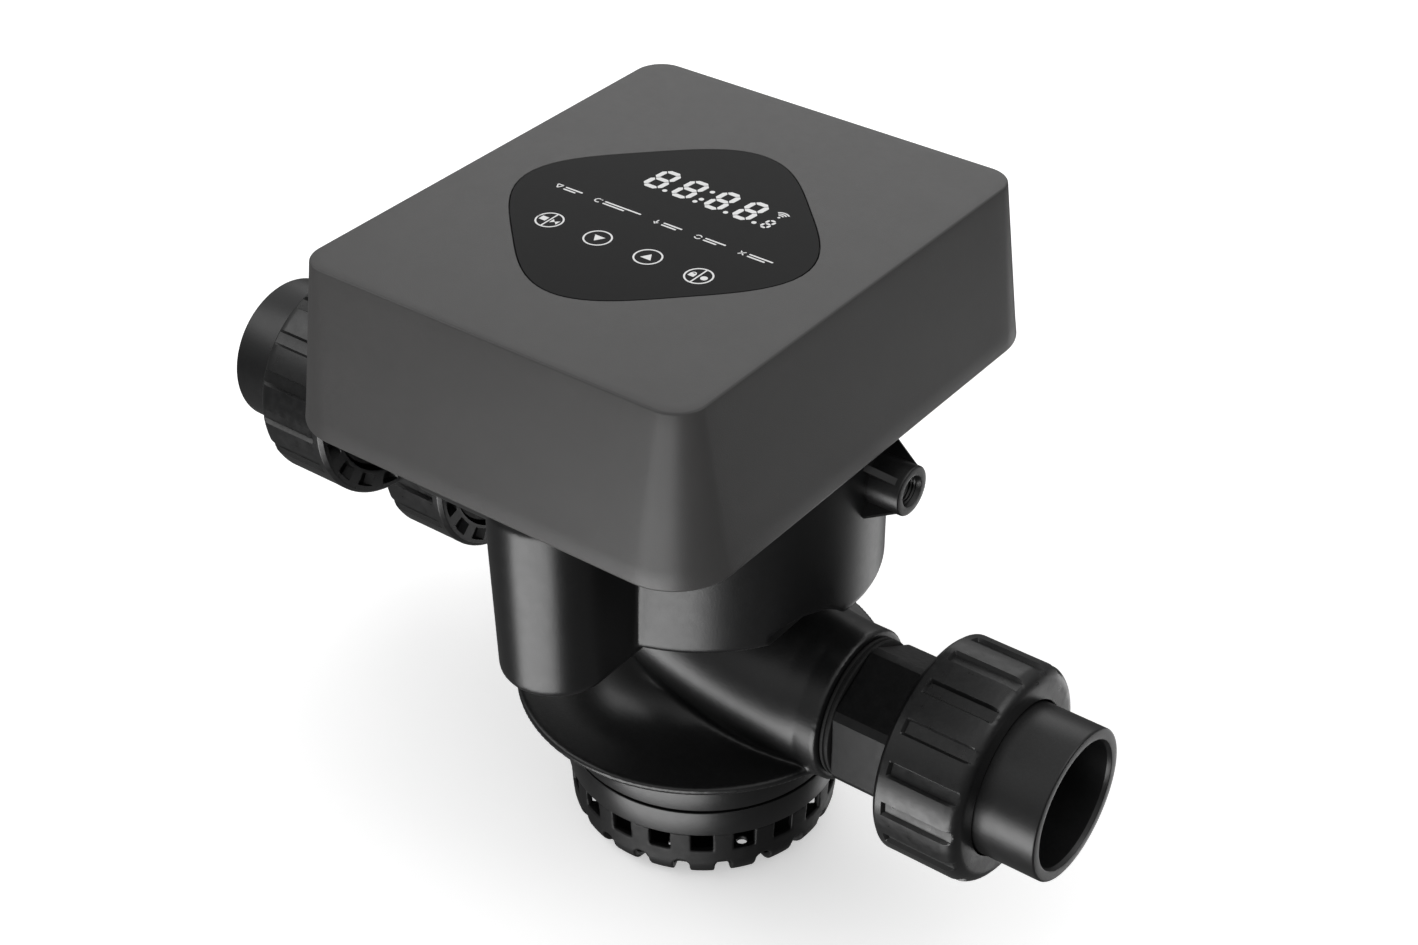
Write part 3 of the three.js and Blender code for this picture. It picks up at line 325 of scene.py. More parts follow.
# ------------------------------------------------------------------ distance fields for moulded shapes
class Field:
    """A box of space filled with signed distances, in millimetres."""

    def __init__(self, low, high, step):
        self.low, self.step = low, step
        axes = [np.arange(a, b + step, step, dtype=np.float32) for a, b in zip(low, high)]
        self.x, self.y, self.z = np.meshgrid(*axes, indexing="ij", sparse=True)
        self.shape = tuple(len(a) for a in axes)

    def cylinder(self, axis, c, r, a, b, rounding=0.5):
        """Round bar of radius r along "x" or "z", centred on c in the other two axes, from a to b."""
        u, v, w = (self.y, self.z, self.x) if axis == "x" else (self.x, self.y, self.z)
        return self.capped(np.sqrt((u - c[0]) ** 2 + (v - c[1]) ** 2), r, w, a, b, rounding)

    @staticmethod
    def capped(distance, r, w, a, b, rounding):
        """Bar of radius r about whatever distance measures from, with rounded ends at w = a and b."""
        across = distance - (r - rounding)
        ends = np.abs(w - (a + b) / 2) - ((b - a) / 2 - rounding)
        outside = np.sqrt(np.maximum(across, 0) ** 2 + np.maximum(ends, 0) ** 2)
        return outside + np.minimum(np.maximum(across, ends), 0) - rounding

    def mesh(self, values):
        """The surface where the distances are zero, facing outwards."""
        grid = openvdb.FloatGrid()
        grid.copyFromArray(np.array(np.broadcast_to(values, self.shape), dtype=np.float32, order="C"))
        points, triangles, quads = grid.convertToPolygons(isovalue=0.0, adaptivity=0.0)
        verts = points * self.step + np.array(self.low)
        faces = [tuple(f[::-1]) for f in quads.tolist()] + [tuple(f[::-1]) for f in triangles.tolist()]
        return verts, faces


def join(a, b, k):
    """Smooth union: a fillet of about k between two distance fields."""
    h = np.clip(0.5 + 0.5 * (b - a) / k, 0, 1)
    return b * (1 - h) + a * h - k * h * (1 - h)


def cut(a, b, k):
    """Takes b out of a, the edge rounded by about k."""
    return -join(-a, b, k)


# ------------------------------------------------------------------ valve body
def outlet_horn(f):
    """Straight at its end, then wider, lower in y and rising towards the chamber."""
    _name, _direction, _y, z, end = OUTLET
    back = np.clip(end - f.x, 0, 95)
    rise = np.maximum(0, -0.112 * back + 0.00637 * back * back)
    grown = np.maximum(0, back - 10)
    away = np.sqrt((f.y + 0.08 * grown) ** 2 + (f.z - z - rise) ** 2) - 0.11 * grown
    return f.capped(away, STUB_R, f.x, -12, end, 0.7) * 0.95


def stub(f, union, inner):
    """Arm of the inlet or the waste, from x = inner outwards."""
    _name, direction, y, z, end = union
    return f.cylinder("x", (y, z), STUB_R, direction * end, inner, 0.7)


def chamber_drum(f):
    """Chamber wall with the inlet on it. Over the outlet horn its lower edge lifts in an arch."""
    drum = f.cylinder("z", (0, 0), DRUM_R, DRUM_Z0, DRUM_Z1, 1.8)
    drum = cut(drum, f.cylinder("x", (-24, 47.8), 25.2, 59, 90, 0.5), 1.4)
    return join(drum, stub(f, INLET, -40), 6)


def motor_tower(f):
    """Tapered tower round the motor well, with a web to the chamber, open at the top."""
    x, y, r = TOWER
    taper = np.clip(115 - f.z, 0, 60) * 0.028
    away = np.sqrt((f.x - x) ** 2 + (f.y - np.clip(f.y, y, -40)) ** 2) + taper
    tower = f.capped(away, r, f.z, 59.5, 136, 4.0)
    tower = np.maximum(tower, f.z - 135.8)
    # nothing over the chamber, where the bonnet sits
    over_chamber = 70.6 - np.sqrt(f.x * f.x + f.y * f.y)
    return np.maximum(tower, np.where(f.z > DRUM_Z1, over_chamber, -99))


def hollowed(f, s):
    """The body with the space for its collar, its water ways, its motor well and its stub bores."""
    around = np.sqrt(f.x * f.x + f.y * f.y)
    s = cut(s, np.maximum(np.maximum(NECK_R - around, around - COLLAR_R - 1.5), f.z), 0.6)
    s = cut(s, np.maximum(np.maximum(RING_PASSAGE[0] - around, around - RING_PASSAGE[1]), f.z - 1.5), 0.8)
    s = cut(s, f.cylinder("z", (0, 0), CENTRE_PIPE_R, -30, 22, 1), 0.8)
    s = cut(s, f.cylinder("z", RISERS[0][:2], RISER_BORE_R, -30, 60, 1), 0.8)
    s = cut(s, f.cylinder("z", TOWER[:2], MOTOR_WELL_R, 66, 140, 1), 0.6)
    for _name, direction, y, z, end in UNIONS:
        a, b = sorted((direction * (end - 20), direction * (end + 5)))
        s = cut(s, f.cylinder("x", (y, z), STUB_BORE_R, a, b, 0.5), 0.8)
    return cut(s, f.cylinder("x", (GAUGE_Y, GAUGE_Z), 8.2, 62, 90, 0.5), 0.6)


def valve_body():
    """The whole body moulding, its parts blended into each other as they are moulded."""
    f = Field((-115, -113, -27), (79, 84, 138), 1.0)
    flange = f.cylinder("z", (0, 0), FLANGE_R, 0, FLANGE_THICK, 1.0)
    throat = f.cylinder("z", (0, 0), 35, -2, 68, 0.5)
    s = join(flange, throat, 26)
    s = join(s, outlet_horn(f), 2.5)
    s = join(s, stub(f, WASTE, -20), 8)
    for x, y, r, blend in RISERS:
        s = join(s, f.cylinder("z", (x, y), r, 0, 68, 3), blend)
    s = join(s, chamber_drum(f), 2.5)
    s = join(s, motor_tower(f), 1.6)
    s = join(s, f.cylinder("z", (0, 0), NECK_R, -NECK_DEPTH, 1, 0.6), 1.0)
    verts, faces = f.mesh(hollowed(f, s))
    parts = ("valve_body", "motor_well", "inlet_horn", "neck_bell", "neck_tube", "centre_socket",
             "outlet_horn", "waste_horn")
    piece("valve_body_moulding", verts, faces, BLACK, "root", parts, sharp=60, weld=False)


def gauge_port():
    """Threaded boss with its four webs."""
    def thread(t, r, h):
        bite = 0.45 * np.abs(((h - 1.34 * t / TURN) / 1.34) % 1.0 - 0.5) * 2
        return np.where((r < 5.9) & (h > 62) & (h < 82.2), r - bite, r), h

    heights = np.arange(82.0, 62.0, -0.22)
    profile = fillet([(8.6, 61, 0), (9.8, 62, 0), (9.8, 83.5, 0.7), (6.2, 83.5, 0.3), (5.7, 82.6, 0)], 4)
    profile += [(5.65, h) for h in heights] + [(5.65, 61.0)]
    parts = [lathe(profile, even(64), thread)]
    for i in range(4):
        a = math.radians(45 + 90 * i)
        rib = fillet([(8.6, 60, 0), (16.6, 60, 0), (16.6, 68.5, 1.2), (9.4, 81.5, 0.8), (8.6, 81.5, 0)], 4)
        verts, faces = slab(rib, -1.3, 1.3, 0.35)
        spun = np.stack([verts[:, 0] * math.cos(a) - verts[:, 2] * math.sin(a),
                         verts[:, 0] * math.sin(a) + verts[:, 2] * math.cos(a), verts[:, 1]], 1)
        parts.append((spun, faces))
    verts, faces = joined(*parts)
    verts = along_x(verts, 1, 0, GAUGE_Y, GAUGE_Z)
    piece("gauge_port_boss", verts, faces, BLACK, "root", ("gauge_boss",), sharp=28)


# ------------------------------------------------------------------ unions
GROOVES = 16
GROOVE_STEP = TURN / GROOVES


def union_nut(name, direction, y, z, end):
    """Union nut: grip grooves outside, thread inside, moulding pockets in its face."""
    z0, z1 = NUT_START, NUT_START + NUT_LENGTH
    thread_end = z0 + 26
    straight = [(NUT_R, a, 0) for a in (z0 + 3, z0 + 4.4, z0 + 4.9, z0 + 5.4, z0 + 9, z0 + 16, z0 + 23)]
    profile = fillet([
        (NUT_THREAD_R, z0, 0.3), (34.7, z0, 0), (35.1, z0, 0), (39.7, z0, 0), (40.1, z0, 0), (42.0, z0, 0.6),
        (NUT_R, z0 + 1.6, 0.8), *straight, (NUT_R, z1, 8.6), (31.1, z1, 0.5), (31.1, thread_end, 0),
        (NUT_THREAD_R, thread_end, 0),
    ], 9)
    profile += [(NUT_THREAD_R, thread_end - i) for i in range(1, 24)]
    groove = 360 / GROOVES
    inside = (0.0, 1.6, 3.1, 3.4, 4.3, 4.7, 8.0, 11.25)
    turns = sorted({o % groove for o in inside} | {(groove - o) % groove for o in inside})
    angles = [math.radians(groove * k + o) for k in range(GROOVES) for o in turns]

    def shape(t, r, h):
        off = (t + GROOVE_STEP / 2) % GROOVE_STEP - GROOVE_STEP / 2
        across = np.abs(off) * NUT_R
        flank = np.clip((across - 2.3) / 0.95, 0, 1)
        end_wall = np.clip((z0 + 5.4 - h) / 0.9, 0, 1)
        floor = NUT_R - 1.75 * (1 - np.maximum(flank, end_wall))
        outer = (r > 41.2) & (h > z0 + 2.5)
        r2 = np.where(outer, np.minimum(r, floor), r)
        pocket = (np.abs(r - 37.4) < 2.35) & (h < z0 + 0.1) & (across > 3.7)
        h2 = np.where(pocket, h + 3.0, h)
        threaded = (r < NUT_THREAD_R + 0.1) & (h > z0 + 1.5) & (h < thread_end - 0.5)
        r2 = np.where(threaded, r2 + 0.35 * np.cos(t - TURN * h / UNION_PITCH), r2)
        return r2, h2

    verts, faces = lathe(profile, angles, shape)
    piece(f"{name}_grip_nut", along_x(verts, direction, end, y, z), faces, NUT_BLACK, f"{name}_nut",
          (f"{name}_union_nut",), slot="body_black", sharp=24)


def tailpiece(name, direction, y, z, end):
    """Hexagon with bevelled corners, male thread towards the nut, spigot towards the valve."""
    thread_r, seal_r = 31.9, 28.4
    edge = math.degrees(math.acos(HEX_FLAT / HEX_CORNER))
    turns = (0, 9, 18, edge - 0.6, edge, 30, 60 - edge, 60 - edge + 0.6, 42, 51)
    angles = [math.radians(60 * k + 30 + o) for k in range(6) for o in sorted(turns)]
    profile = fillet([
        (UNION_BORE_R, -14, 0.5), (23.6, -14, 1.0), (24, -12, 0), (24, HEX_START, 0),
        (HEX_CORNER, HEX_START, 1.0), (HEX_CORNER, HEX_END, 0), (thread_r, HEX_END, 0.6), (thread_r, 38.5, 0),
    ], 3)
    profile += [(thread_r, h) for h in np.arange(39.1, 51.6, 0.62)]
    profile += fillet([(thread_r, 52.0, 0), (31.2, FACE, 0.4), (seal_r, FACE, 0.3), (seal_r, FACE - 2, 0),
                       (UNION_BORE_R, FACE - 2, 0.4)], 3)[:-1]
    profile += [(UNION_BORE_R, FACE - 3)]

    def shape(t, r, h):
        flat = HEX_FLAT / np.cos(t % HEX_SIDE - HEX_SIDE / 2)
        hexed = (h > HEX_START - 0.01) & (h < HEX_END + 0.02) & (r > 25)
        r = np.where(hexed, np.minimum(r, flat - (HEX_CORNER - r) * 0.9), r)
        threaded = (r > thread_r - 0.4) & (h > 38.4) & (h < 52.1)
        r = np.where(threaded, r + 0.62 * np.cos(t - TURN * h / UNION_PITCH), r)
        return r, h

    verts, faces = lathe(profile, angles, shape)
    piece(f"{name}_hex_piece", along_x(verts, direction, end, y, z), faces, HEX_BLACK, "root",
          (f"{name}_hex_tailpiece",), slot="body_black", sharp=22)
    ring = fillet([(24.3, 0.3, 0.3), (seal_r, 0.3, 0.5), (seal_r, 1.7, 0.2), (27.4, 1.9, 0.2),
                   (27.4, 2.7, 0.2), (seal_r, 2.9, 0.2), (seal_r, 4.1, 0.5), (24.3, 4.1, 0.3)], 3)
    verts, faces = lathe(ring, even(96))
    piece(f"{name}_stub_seal", along_x(verts, direction, end, y, z), faces, RUBBER, "root",
          (f"{name}_thread_seal",), sharp=40)
    tube = [(25.8 + math.cos(a), FACE - 0.7 + math.sin(a)) for a in even(14)]
    verts, faces = lathe(tube, even(96))
    piece(f"{name}_face_seal", along_x(verts, direction, end, y, z), faces, RUBBER, "root",
          (f"{name}_union_oring",), sharp=80)


def pipe_socket(name, direction, y, z, end):
    """Collar held by the nut, and a socket for the pipe."""
    a, b = FACE + 0.5, TAIL_END
    bore, depth = 22, 31
    profile = fillet([
        (bore, a, 0.4), (32.3, a, 0.4), (32.3, a + 5, 0.4), (30.5, a + 5, 0.3), (30.45, b - 18, 0),
        (30.4, b, 0.9), (26.1, b, 0.35), (25.3, b - 1.6, 0.4), (25.1, b - depth, 0.5), (bore, b - depth, 0.5),
    ], 5)
    verts, faces = lathe(profile, even(144))
    piece(f"{name}_glue_socket", along_x(verts, direction, end, y, z), faces, BLACK, f"{name}_tail",
          (f"{name}_pipe_socket",), sharp=30)


# ------------------------------------------------------------------ neck and basket
def neck():
    """Collar round the neck, with a fine groove at half height, and the neck's seal."""
    bore, waist = NECK_R + 0.4, COLLAR_R - 0.7
    profile = fillet([
        (bore, -3.5, 0.3), (55.6, -3.5, 0.5), (COLLAR_R, -14.9, 0.4), (waist, -15.1, 0.15),
        (waist, -15.7, 0.15), (55.9, -15.9, 0.4), (55.8, -25.2, 0.5), (bore, -25.2, 0.3),
    ], 4)
    verts, faces = lathe(profile, even(160))
    piece("neck_collar_ring", verts, faces, BLACK, "root", ("neck_collar",), sharp=25)
    ring = [(52.8 + 1.2 * math.cos(a), -1.7 + 1.2 * math.sin(a)) for a in even(12)]
    verts, faces = lathe(ring, even(128))
    piece("neck_seal_ring", verts, faces, RUBBER, "root", ("flange_oring",), slot="seal_rubber", sharp=80)


def basket_band():
    """Smooth ring between the collar and the basket."""
    inside, z0, z1 = COLLAR_R - 2.8, -38.2, -26.1
    band = fillet([(inside, z0, 0.3), (55.7, z0, 0.5), (COLLAR_R, z1, 0.4), (inside, z1, 0.3)], 4)
    verts, faces = lathe(band, even(160))
    piece("basket_band_ring", verts, faces, BLACK, "root", ("basket_band",), sharp=25)


def spaced(angle, around, count, phase):
    """Distance to the side of, and outwards along, the nearest of count spokes."""
    pitch = TURN / count
    a = (angle + phase) % pitch - pitch / 2
    return around * np.sin(a), around * np.cos(a)


def basket():
    """Cup with square windows under the band, round-topped slots in its lower edge and a drained floor."""
    f = Field((-57, -57, -65.5), (57, 57, -37), 0.6)
    around = np.sqrt(f.x ** 2 + f.y ** 2)
    taper = np.clip((BASKET_TOP - f.z) * 0.045, 0, 1.2)
    outer = f.capped(around + taper, 55, f.z, BASKET_Z0, 0, 10)
    inner = f.capped(around + taper, 52.4, f.z, BASKET_Z0 + 2.6, 4, 8)
    s = np.maximum(cut(outer, inner, 0.5), f.z - BASKET_TOP)
    # the middle is open for the filter's centre pipe, with a rim round it
    hole, rim = 26.5, 29.5
    s = cut(s, np.maximum(around - hole, f.z + 58), 0.6)
    rim_ring = np.maximum(np.maximum(around - rim, hole - around), np.maximum(f.z + 52, BASKET_Z0 - f.z))
    s = join(s, rim_ring, 2.0)
    angle = np.arctan2(f.y, f.x) + TURN
    side, out = spaced(angle, around, WINDOWS, TURN / WINDOWS / 2)
    s = cut(s, np.maximum(np.maximum(np.abs(side) - 4.3, -47.4 - f.z), 46 - out), 0.5)
    side, out = spaced(angle, around, WINDOWS, 0)
    slot_r, slot_z = 3.3, f.z + 56.5
    slot = np.minimum(np.maximum(np.abs(side) - slot_r, slot_z), np.sqrt(side ** 2 + slot_z ** 2) - slot_r)
    s = cut(s, np.maximum(slot, 44 - out), 0.5)
    side, out = spaced(angle, around, 8, 0.1)
    drain = np.sqrt((out - 36) ** 2 + side ** 2) - 2.2
    s = cut(s, np.maximum(drain, f.z + 56), 0.5)
    verts, faces = f.mesh(s)
    piece("diffuser_basket_moulding", verts, faces, BASKET_BLACK, "root", ("diffuser_basket",),
          slot="body_black", sharp=60, weld=False)


# ------------------------------------------------------------------ head
def outline(z, inset, corner_steps=14, side_steps=30):
    """Rounded rectangle of the cover at height z, grown inwards by inset."""
    t = (z - COVER["z0"]) / (COVER["z1"] - COVER["z0"])
    w, h = [b + (a - b) * t - 2 * inset for a, b in zip(COVER["top"], COVER["bot"])]
    r = COVER["corner"][0] + (COVER["corner"][1] - COVER["corner"][0]) * t - inset
    pts = []
    for sx, sy, a0 in ((1, -1, -90), (1, 1, 0), (-1, 1, 90), (-1, -1, 180)):
        arc = [(COVER["xc"] + sx * (w / 2 - r) + r * math.cos(math.radians(a0 + 90 * i / corner_steps)),
                COVER["yc"] + sy * (h / 2 - r) + r * math.sin(math.radians(a0 + 90 * i / corner_steps)))
               for i in range(corner_steps + 1)]
        if pts:
            pts += between(pts[-1], arc[0], side_steps)
        pts += arc
    pts += between(pts[-1], pts[0], side_steps)
    return np.array(pts)


def between(a, b, steps):
    """Points that split the straight line from a to b into steps, without its ends."""
    return [tuple(np.array(a) + (np.array(b) - np.array(a)) * i / steps) for i in range(1, steps)]


def panel_outline(grow=0.0, count=240):
    """The panel's rounded square, standing on a corner, grown outwards by grow."""
    t = np.arange(count) * TURN / count
    c, s, power = np.cos(t), np.sin(t), PANEL["power"]
    reach = (PANEL["half"] + grow) * (np.abs(c) ** power + np.abs(s) ** power) ** (-1 / power)
    u, v = c * reach, s * reach
    return np.stack([COVER["xc"] + (u - v) * math.sqrt(0.5), PANEL["y"] + (u + v) * math.sqrt(0.5)], 1)


def panel_at(points, grow):
    """Points of the panel's outline in the same directions as the given points."""
    curve = panel_outline(grow, 1440)
    centre = np.array((COVER["xc"], PANEL["y"]))
    angle = np.arctan2(*(curve - centre).T[::-1])
    order = np.argsort(angle)
    radius = np.linalg.norm(curve - centre, axis=1)
    want = np.arctan2(*(points - centre).T[::-1])
    r = np.interp(want, angle[order], radius[order], period=TURN)
    return centre + np.stack([r * np.cos(want), r * np.sin(want)], 1)


def cover():
    """Tapered shell with rounded edges, the panel's recess in its top, and its screw bosses inside."""
    z0, z1, wall = COVER["z0"], COVER["z1"], COVER["wall"]
    quarter = (0.0, 0.4, 0.8, 1.2, 1.57)
    foot, edge = 1.2, 0.9
    rings = [(outline(z0 + wall, wall), z0 + 0.6), (outline(z0, 2.5), z0), (outline(z0, foot), z0)]
    rings += [(outline(z0, foot * (1 - math.sin(a))), z0 + foot * (1 - math.cos(a))) for a in quarter[1:]]
    rings += [(outline(z, 0), z) for z in np.linspace(z0 + 8, z1 - 6, 5)]
    rings += [(outline(z1 - edge, edge * (1 - math.cos(a))), z1 - edge * (1 - math.sin(a))) for a in quarter]
    top = outline(z1, edge)
    rings += [(top + (panel_at(top, 0.45) - top) * k, z1) for k in (0.06, 0.5, 0.94)]
    recess = panel_at(top, 0.26)
    rings += [(panel_at(top, 0.4), z1), (recess, z1 - 0.15), (recess, z1 - 1.9)]
    n = len(top)
    faces = ring_faces(n, len(rings))
    faces.append(tuple(range((len(rings) - 1) * n, len(rings) * n)))
    inner = [(outline(z, wall), z) for z in np.linspace(z0 + wall, z1 - 4.2, 4)]
    inner[0] = rings[0]
    base = n * len(rings)
    faces += [f[::-1] for f in ring_faces(n, len(inner), base)]
    faces.append(tuple(range(base + (len(inner) - 1) * n, base + len(inner) * n))[::-1])
    parts = [(stacked(rings + inner), faces)] + cover_bosses() + cover_ribs()
    verts, faces = joined(*parts)
    piece("cover_shell", verts, faces, COVER_GREY, "cover", ("cover",), sharp=26)


def cover_bosses():
    """Four screw bosses under the roof, each with three webs."""
    parts = []
    for sx, sy in ((1, -1), (1, 1), (-1, 1), (-1, -1)):
        x, y = COVER["xc"] + sx * 72, sy * 92
        boss = fillet([(1.9, 140.5, 0), (5.3, 140.5, 0.4), (5.6, 198, 0), (1.9, 198, 0)], 3)
        parts.append(moved(lathe(boss, even(28)), x, y))
        for a in even(3, 0.5):
            c, s = math.cos(a), math.sin(a)
            web = np.array([(5, -0.8), (10.5, -0.8), (10.5, 0.8), (5, 0.8)]) @ np.array([(c, s), (-s, c)])
            parts.append(moved(slab(web, 158, 198), x, y))
    return parts


def cover_ribs():
    """Seven stiffening ribs under the roof."""
    return [rounded_box(-92, 62, k * 24 - 0.8, k * 24 + 0.8, 194.5, 197.6, 0.3, 0.2) for k in range(-3, 4)]


def touch_panel():
    """Film over the display, flush with the cover, its top edge eased."""
    z1 = COVER["z1"]
    full = panel_outline()
    rings = [(full, z1 - PANEL["thick"]), (full, z1 - 0.25), (panel_outline(-0.2), z1)]
    n = len(full)
    faces = [tuple(range(n))[::-1], tuple(range(2 * n, 3 * n))] + ring_faces(n, len(rings))
    piece("touch_panel_film", stacked(rings), faces, PANEL_BLACK, "cover", ("touch_panel",), sharp=20)


def bar(a, b, w, point=0.5):
    """Flat bar between two points with tapered ends."""
    a, b = np.array(a, float), np.array(b, float)
    d = (b - a) / np.linalg.norm(b - a)
    s = np.array((-d[1], d[0])) * w / 2
    p = d * w * point
    return np.array([a, a + p - s, b - p - s, b, b - p + s, a + p + s])


def arc_band(cx, cy, r0, r1, a0, a1, steps=10):
    """Part of a ring, between two angles in degrees."""
    a = np.radians(np.linspace(a0, a1, steps))
    outer = np.stack([cx + r1 * np.cos(a), cy + r1 * np.sin(a)], 1)
    inner = np.stack([cx + r0 * np.cos(a[::-1]), cy + r0 * np.sin(a[::-1])], 1)
    return np.concatenate([outer, inner])


def disc(cx, cy, r, steps=24):
    """Round dot."""
    a = np.arange(steps) * TURN / steps
    return np.stack([cx + r * np.cos(a), cy + r * np.sin(a)], 1)


def box_shape(x0, x1, y0, y1):
    """Four corners of a flat box."""
    return np.array([(x0, y0), (x1, y0), (x1, y1), (x0, y1)])


def digit(x0, x1, y0, y1, w, slant=0.09):
    """All seven bars of a display digit."""
    h = w / 2
    xa, xb, ya, ym, yb = x0 + h, x1 - h, y0 + h, (y0 + y1) / 2, y1 - h
    g = 0.28
    bars = [((xa + g, level), (xb - g, level)) for level in (ya, ym, yb)]
    bars += [((x, low + g), (x, high - g)) for low, high in ((ya, ym), (ym, yb)) for x in (xa, xb)]
    out = []
    for a, b in bars:
        p = bar(a, b, w)
        p[:, 0] += (p[:, 1] - ym) * slant
        out.append(p)
    return out


def display():
    """Four large digits and a small one, their dots, and a fan of three arcs for radio."""
    shapes = []
    for x0, x1 in ((-38.4, -29.9), (-25.5, -17.0), (-10.7, -2.7), (2.0, 10.0)):
        shapes += digit(x0, x1, 13.9, 28.8, 2.1)
    shapes += digit(14.8, 18.5, 13.9, 20.6, 1.0)
    shapes += [disc(x, 15.2, 0.95) for x in (-28.3, -14.5, -0.7, 11.9)]
    shapes += [disc(-13.6, y, 1.0) for y in (17.9, 24.6)]
    fan = (17.0, 23.4)
    shapes.append(disc(*fan, 0.55))
    shapes += [arc_band(*fan, r, r + 0.62, 50, 130) for r in (1.3, 2.4, 3.5)]
    return shapes


def position_symbols(y):
    """For each valve position: the left and right end of its mark, its lower bar's share, its symbol."""
    w = 0.5

    def funnel(x):
        low = (x, y - 1.3)
        return [bar((x - 1.3, y + 1.2), low, w), bar((x + 1.3, y + 1.2), low, w),
                bar((x - 1.5, y + 1.2), (x + 1.5, y + 1.2), w)]

    def back_arrow(x):
        return [arc_band(x, y, 1.0, 1.5, 40, 320), bar((x + 0.3, y + 1.0), (x + 1.6, y + 1.0), w)]

    def down_arrow(x):
        head = np.array([(x - 1.2, y - 0.3), (x, y - 1.6), (x + 1.2, y - 0.3)])
        return [bar((x, y + 1.5), (x, y - 1.0), w), head]

    def loop(x):
        return [arc_band(x, y, 1.0, 1.5, 20, 160), arc_band(x, y, 1.0, 1.5, 200, 340)]

    def cross(x):
        return [bar((x - 1.2, y - s * 1.2), (x + 1.2, y + s * 1.2), w) for s in (1, -1)]

    return ((-63.1, -51.0, 0.72, funnel), (-44.7, -24.0, 0.6, back_arrow), (-17.9, -5.4, 0.8, down_arrow),
            (0.7, 13.9, 0.65, loop), (19.9, 34.3, 0.75, cross))


def position_marks():
    """A small symbol and two short bars in place of each position's word."""
    shapes = []
    y = -5.0
    for x0, right, share, symbol in position_symbols(y):
        shapes += symbol(x0 + 1.6)
        left = x0 + 4.2
        shapes.append(bar((left, y + 0.75), (right, y + 0.75), 0.75, 0.2))
        shapes.append(bar((left, y - 0.75), (left + (right - left) * share, y - 0.75), 0.75, 0.2))
    return shapes


def buttons():
    """Four ringed buttons: a split one, down, up, and another split one."""
    y = -26.8
    shapes = []
    for k, x in enumerate((-47.8, -25.7, -3.2, 19.0)):
        shapes += [arc_band(x, y, 4.75, 5.4, a, a + 180, 24) for a in (0, 180)]
        if k in (1, 2):
            s = 1 if k == 2 else -1
            shapes.append(np.array([(x - 2.3, y - s * 1.5), (x + 2.3, y - s * 1.5), (x, y + s * 2.2)])[::s])
        else:
            shapes.append(bar((x, y - 4.7), (x, y + 4.7), 0.6, 0.05))
        if k == 0:
            shapes.append(box_shape(x - 3.9, x - 1.1, y - 1.4, y + 1.2))
            shapes.append(np.array([(x + 0.9, y - 1.4), (x + 2.4, y), (x + 0.9, y + 1.4)]))
            shapes.append(np.array([(x + 3.9, y + 1.4), (x + 2.4, y), (x + 3.9, y - 1.4)]))
        if k == 3:
            shapes.append(box_shape(x - 3.7, x - 1.2, y - 1.6, y + 0.4))
            shapes.append(arc_band(x - 2.45, y + 0.4, 0.65, 1.1, 0, 180))
            shapes.append(disc(x + 2.4, y - 0.2, 1.35))
    return shapes


def panel_print():
    """White display digits, symbols and button marks, printed a hair proud of the film."""
    z1 = COVER["z1"]
    shapes = display() + position_marks() + buttons()
    verts, faces = joined(*[slab(s, z1 - 0.02, z1 + 0.06) for s in shapes])
    piece("touch_panel_print", verts, faces, INK, "cover", slot="panel_black", sharp=20)


# ------------------------------------------------------------------ screws
def screw(name, low, high, up=True, stands_for=(), head=2.3, shank=1.55):
    """Pan head with a cross recess on a threaded shank, as tall and wide as the box from low to high."""
    cx, cy = (low[0] + high[0]) / 2, (low[1] + high[1]) / 2
    r = (high[1] - low[1]) / 2
    length = high[2] - low[2]
    shape = [(0, 0), (shank * 0.4, 0), (shank, shank)]
    shape += [(shank - 0.22 * (i % 2), shank + (length - head - shank) * i / 24) for i in range(1, 24)]
    shape += [(shank, length - head), (r - 0.4, length - head), (r, length - head + 0.4), (r, length - 0.9)]
    shape += [(r - 0.5 * (1 - math.cos(a)) - 0.2, length - 0.9 + 0.7 * math.sin(a)) for a in (0.5, 1.0, 1.5)]
    shape += [(r * 0.66, length), (r * 0.62, length), (0.45 * r, length), (0.25 * r, length), (0, length)]

    def recess(t, rr, h):
        blade = np.minimum(np.abs(rr * np.cos(t)), np.abs(rr * np.sin(t)))
        deep = (h > length - 0.01) & (rr < r * 0.64) & (blade < 0.16 * r)
        return rr, np.where(deep, h - 1.3 + rr * 0.25, h)

    verts, faces = lathe(shape, even(32), recess, closed=False)
    if not up:
        verts = verts * (1, -1, -1) + (0, 0, length)
    verts = verts + (cx, cy, low[2])
    piece(f"{name}_pan_head", verts, faces, STEEL, "root", stands_for, slot="steel", sharp=30)


def bonnet_screws():
    """The six screws round the bonnet, which the CAD has only as holes."""
    b = BONNET_SCREWS
    for i, a in enumerate(even(b["count"], b["phase"])):
        x, y, r = b["circle"] * math.cos(a), b["circle"] * math.sin(a), b["r"]
        low, high = (x - r, y - r, b["z0"]), (x + r, y + r, b["z1"])
        screw(f"bonnet_screw_{i + 1}", low, high, head=b["head"], shank=b["shank"])


# ------------------------------------------------------------------ boards and cable entry
BOARD_Z = 146.0
BOARD_TOP = BOARD_Z + 1.6


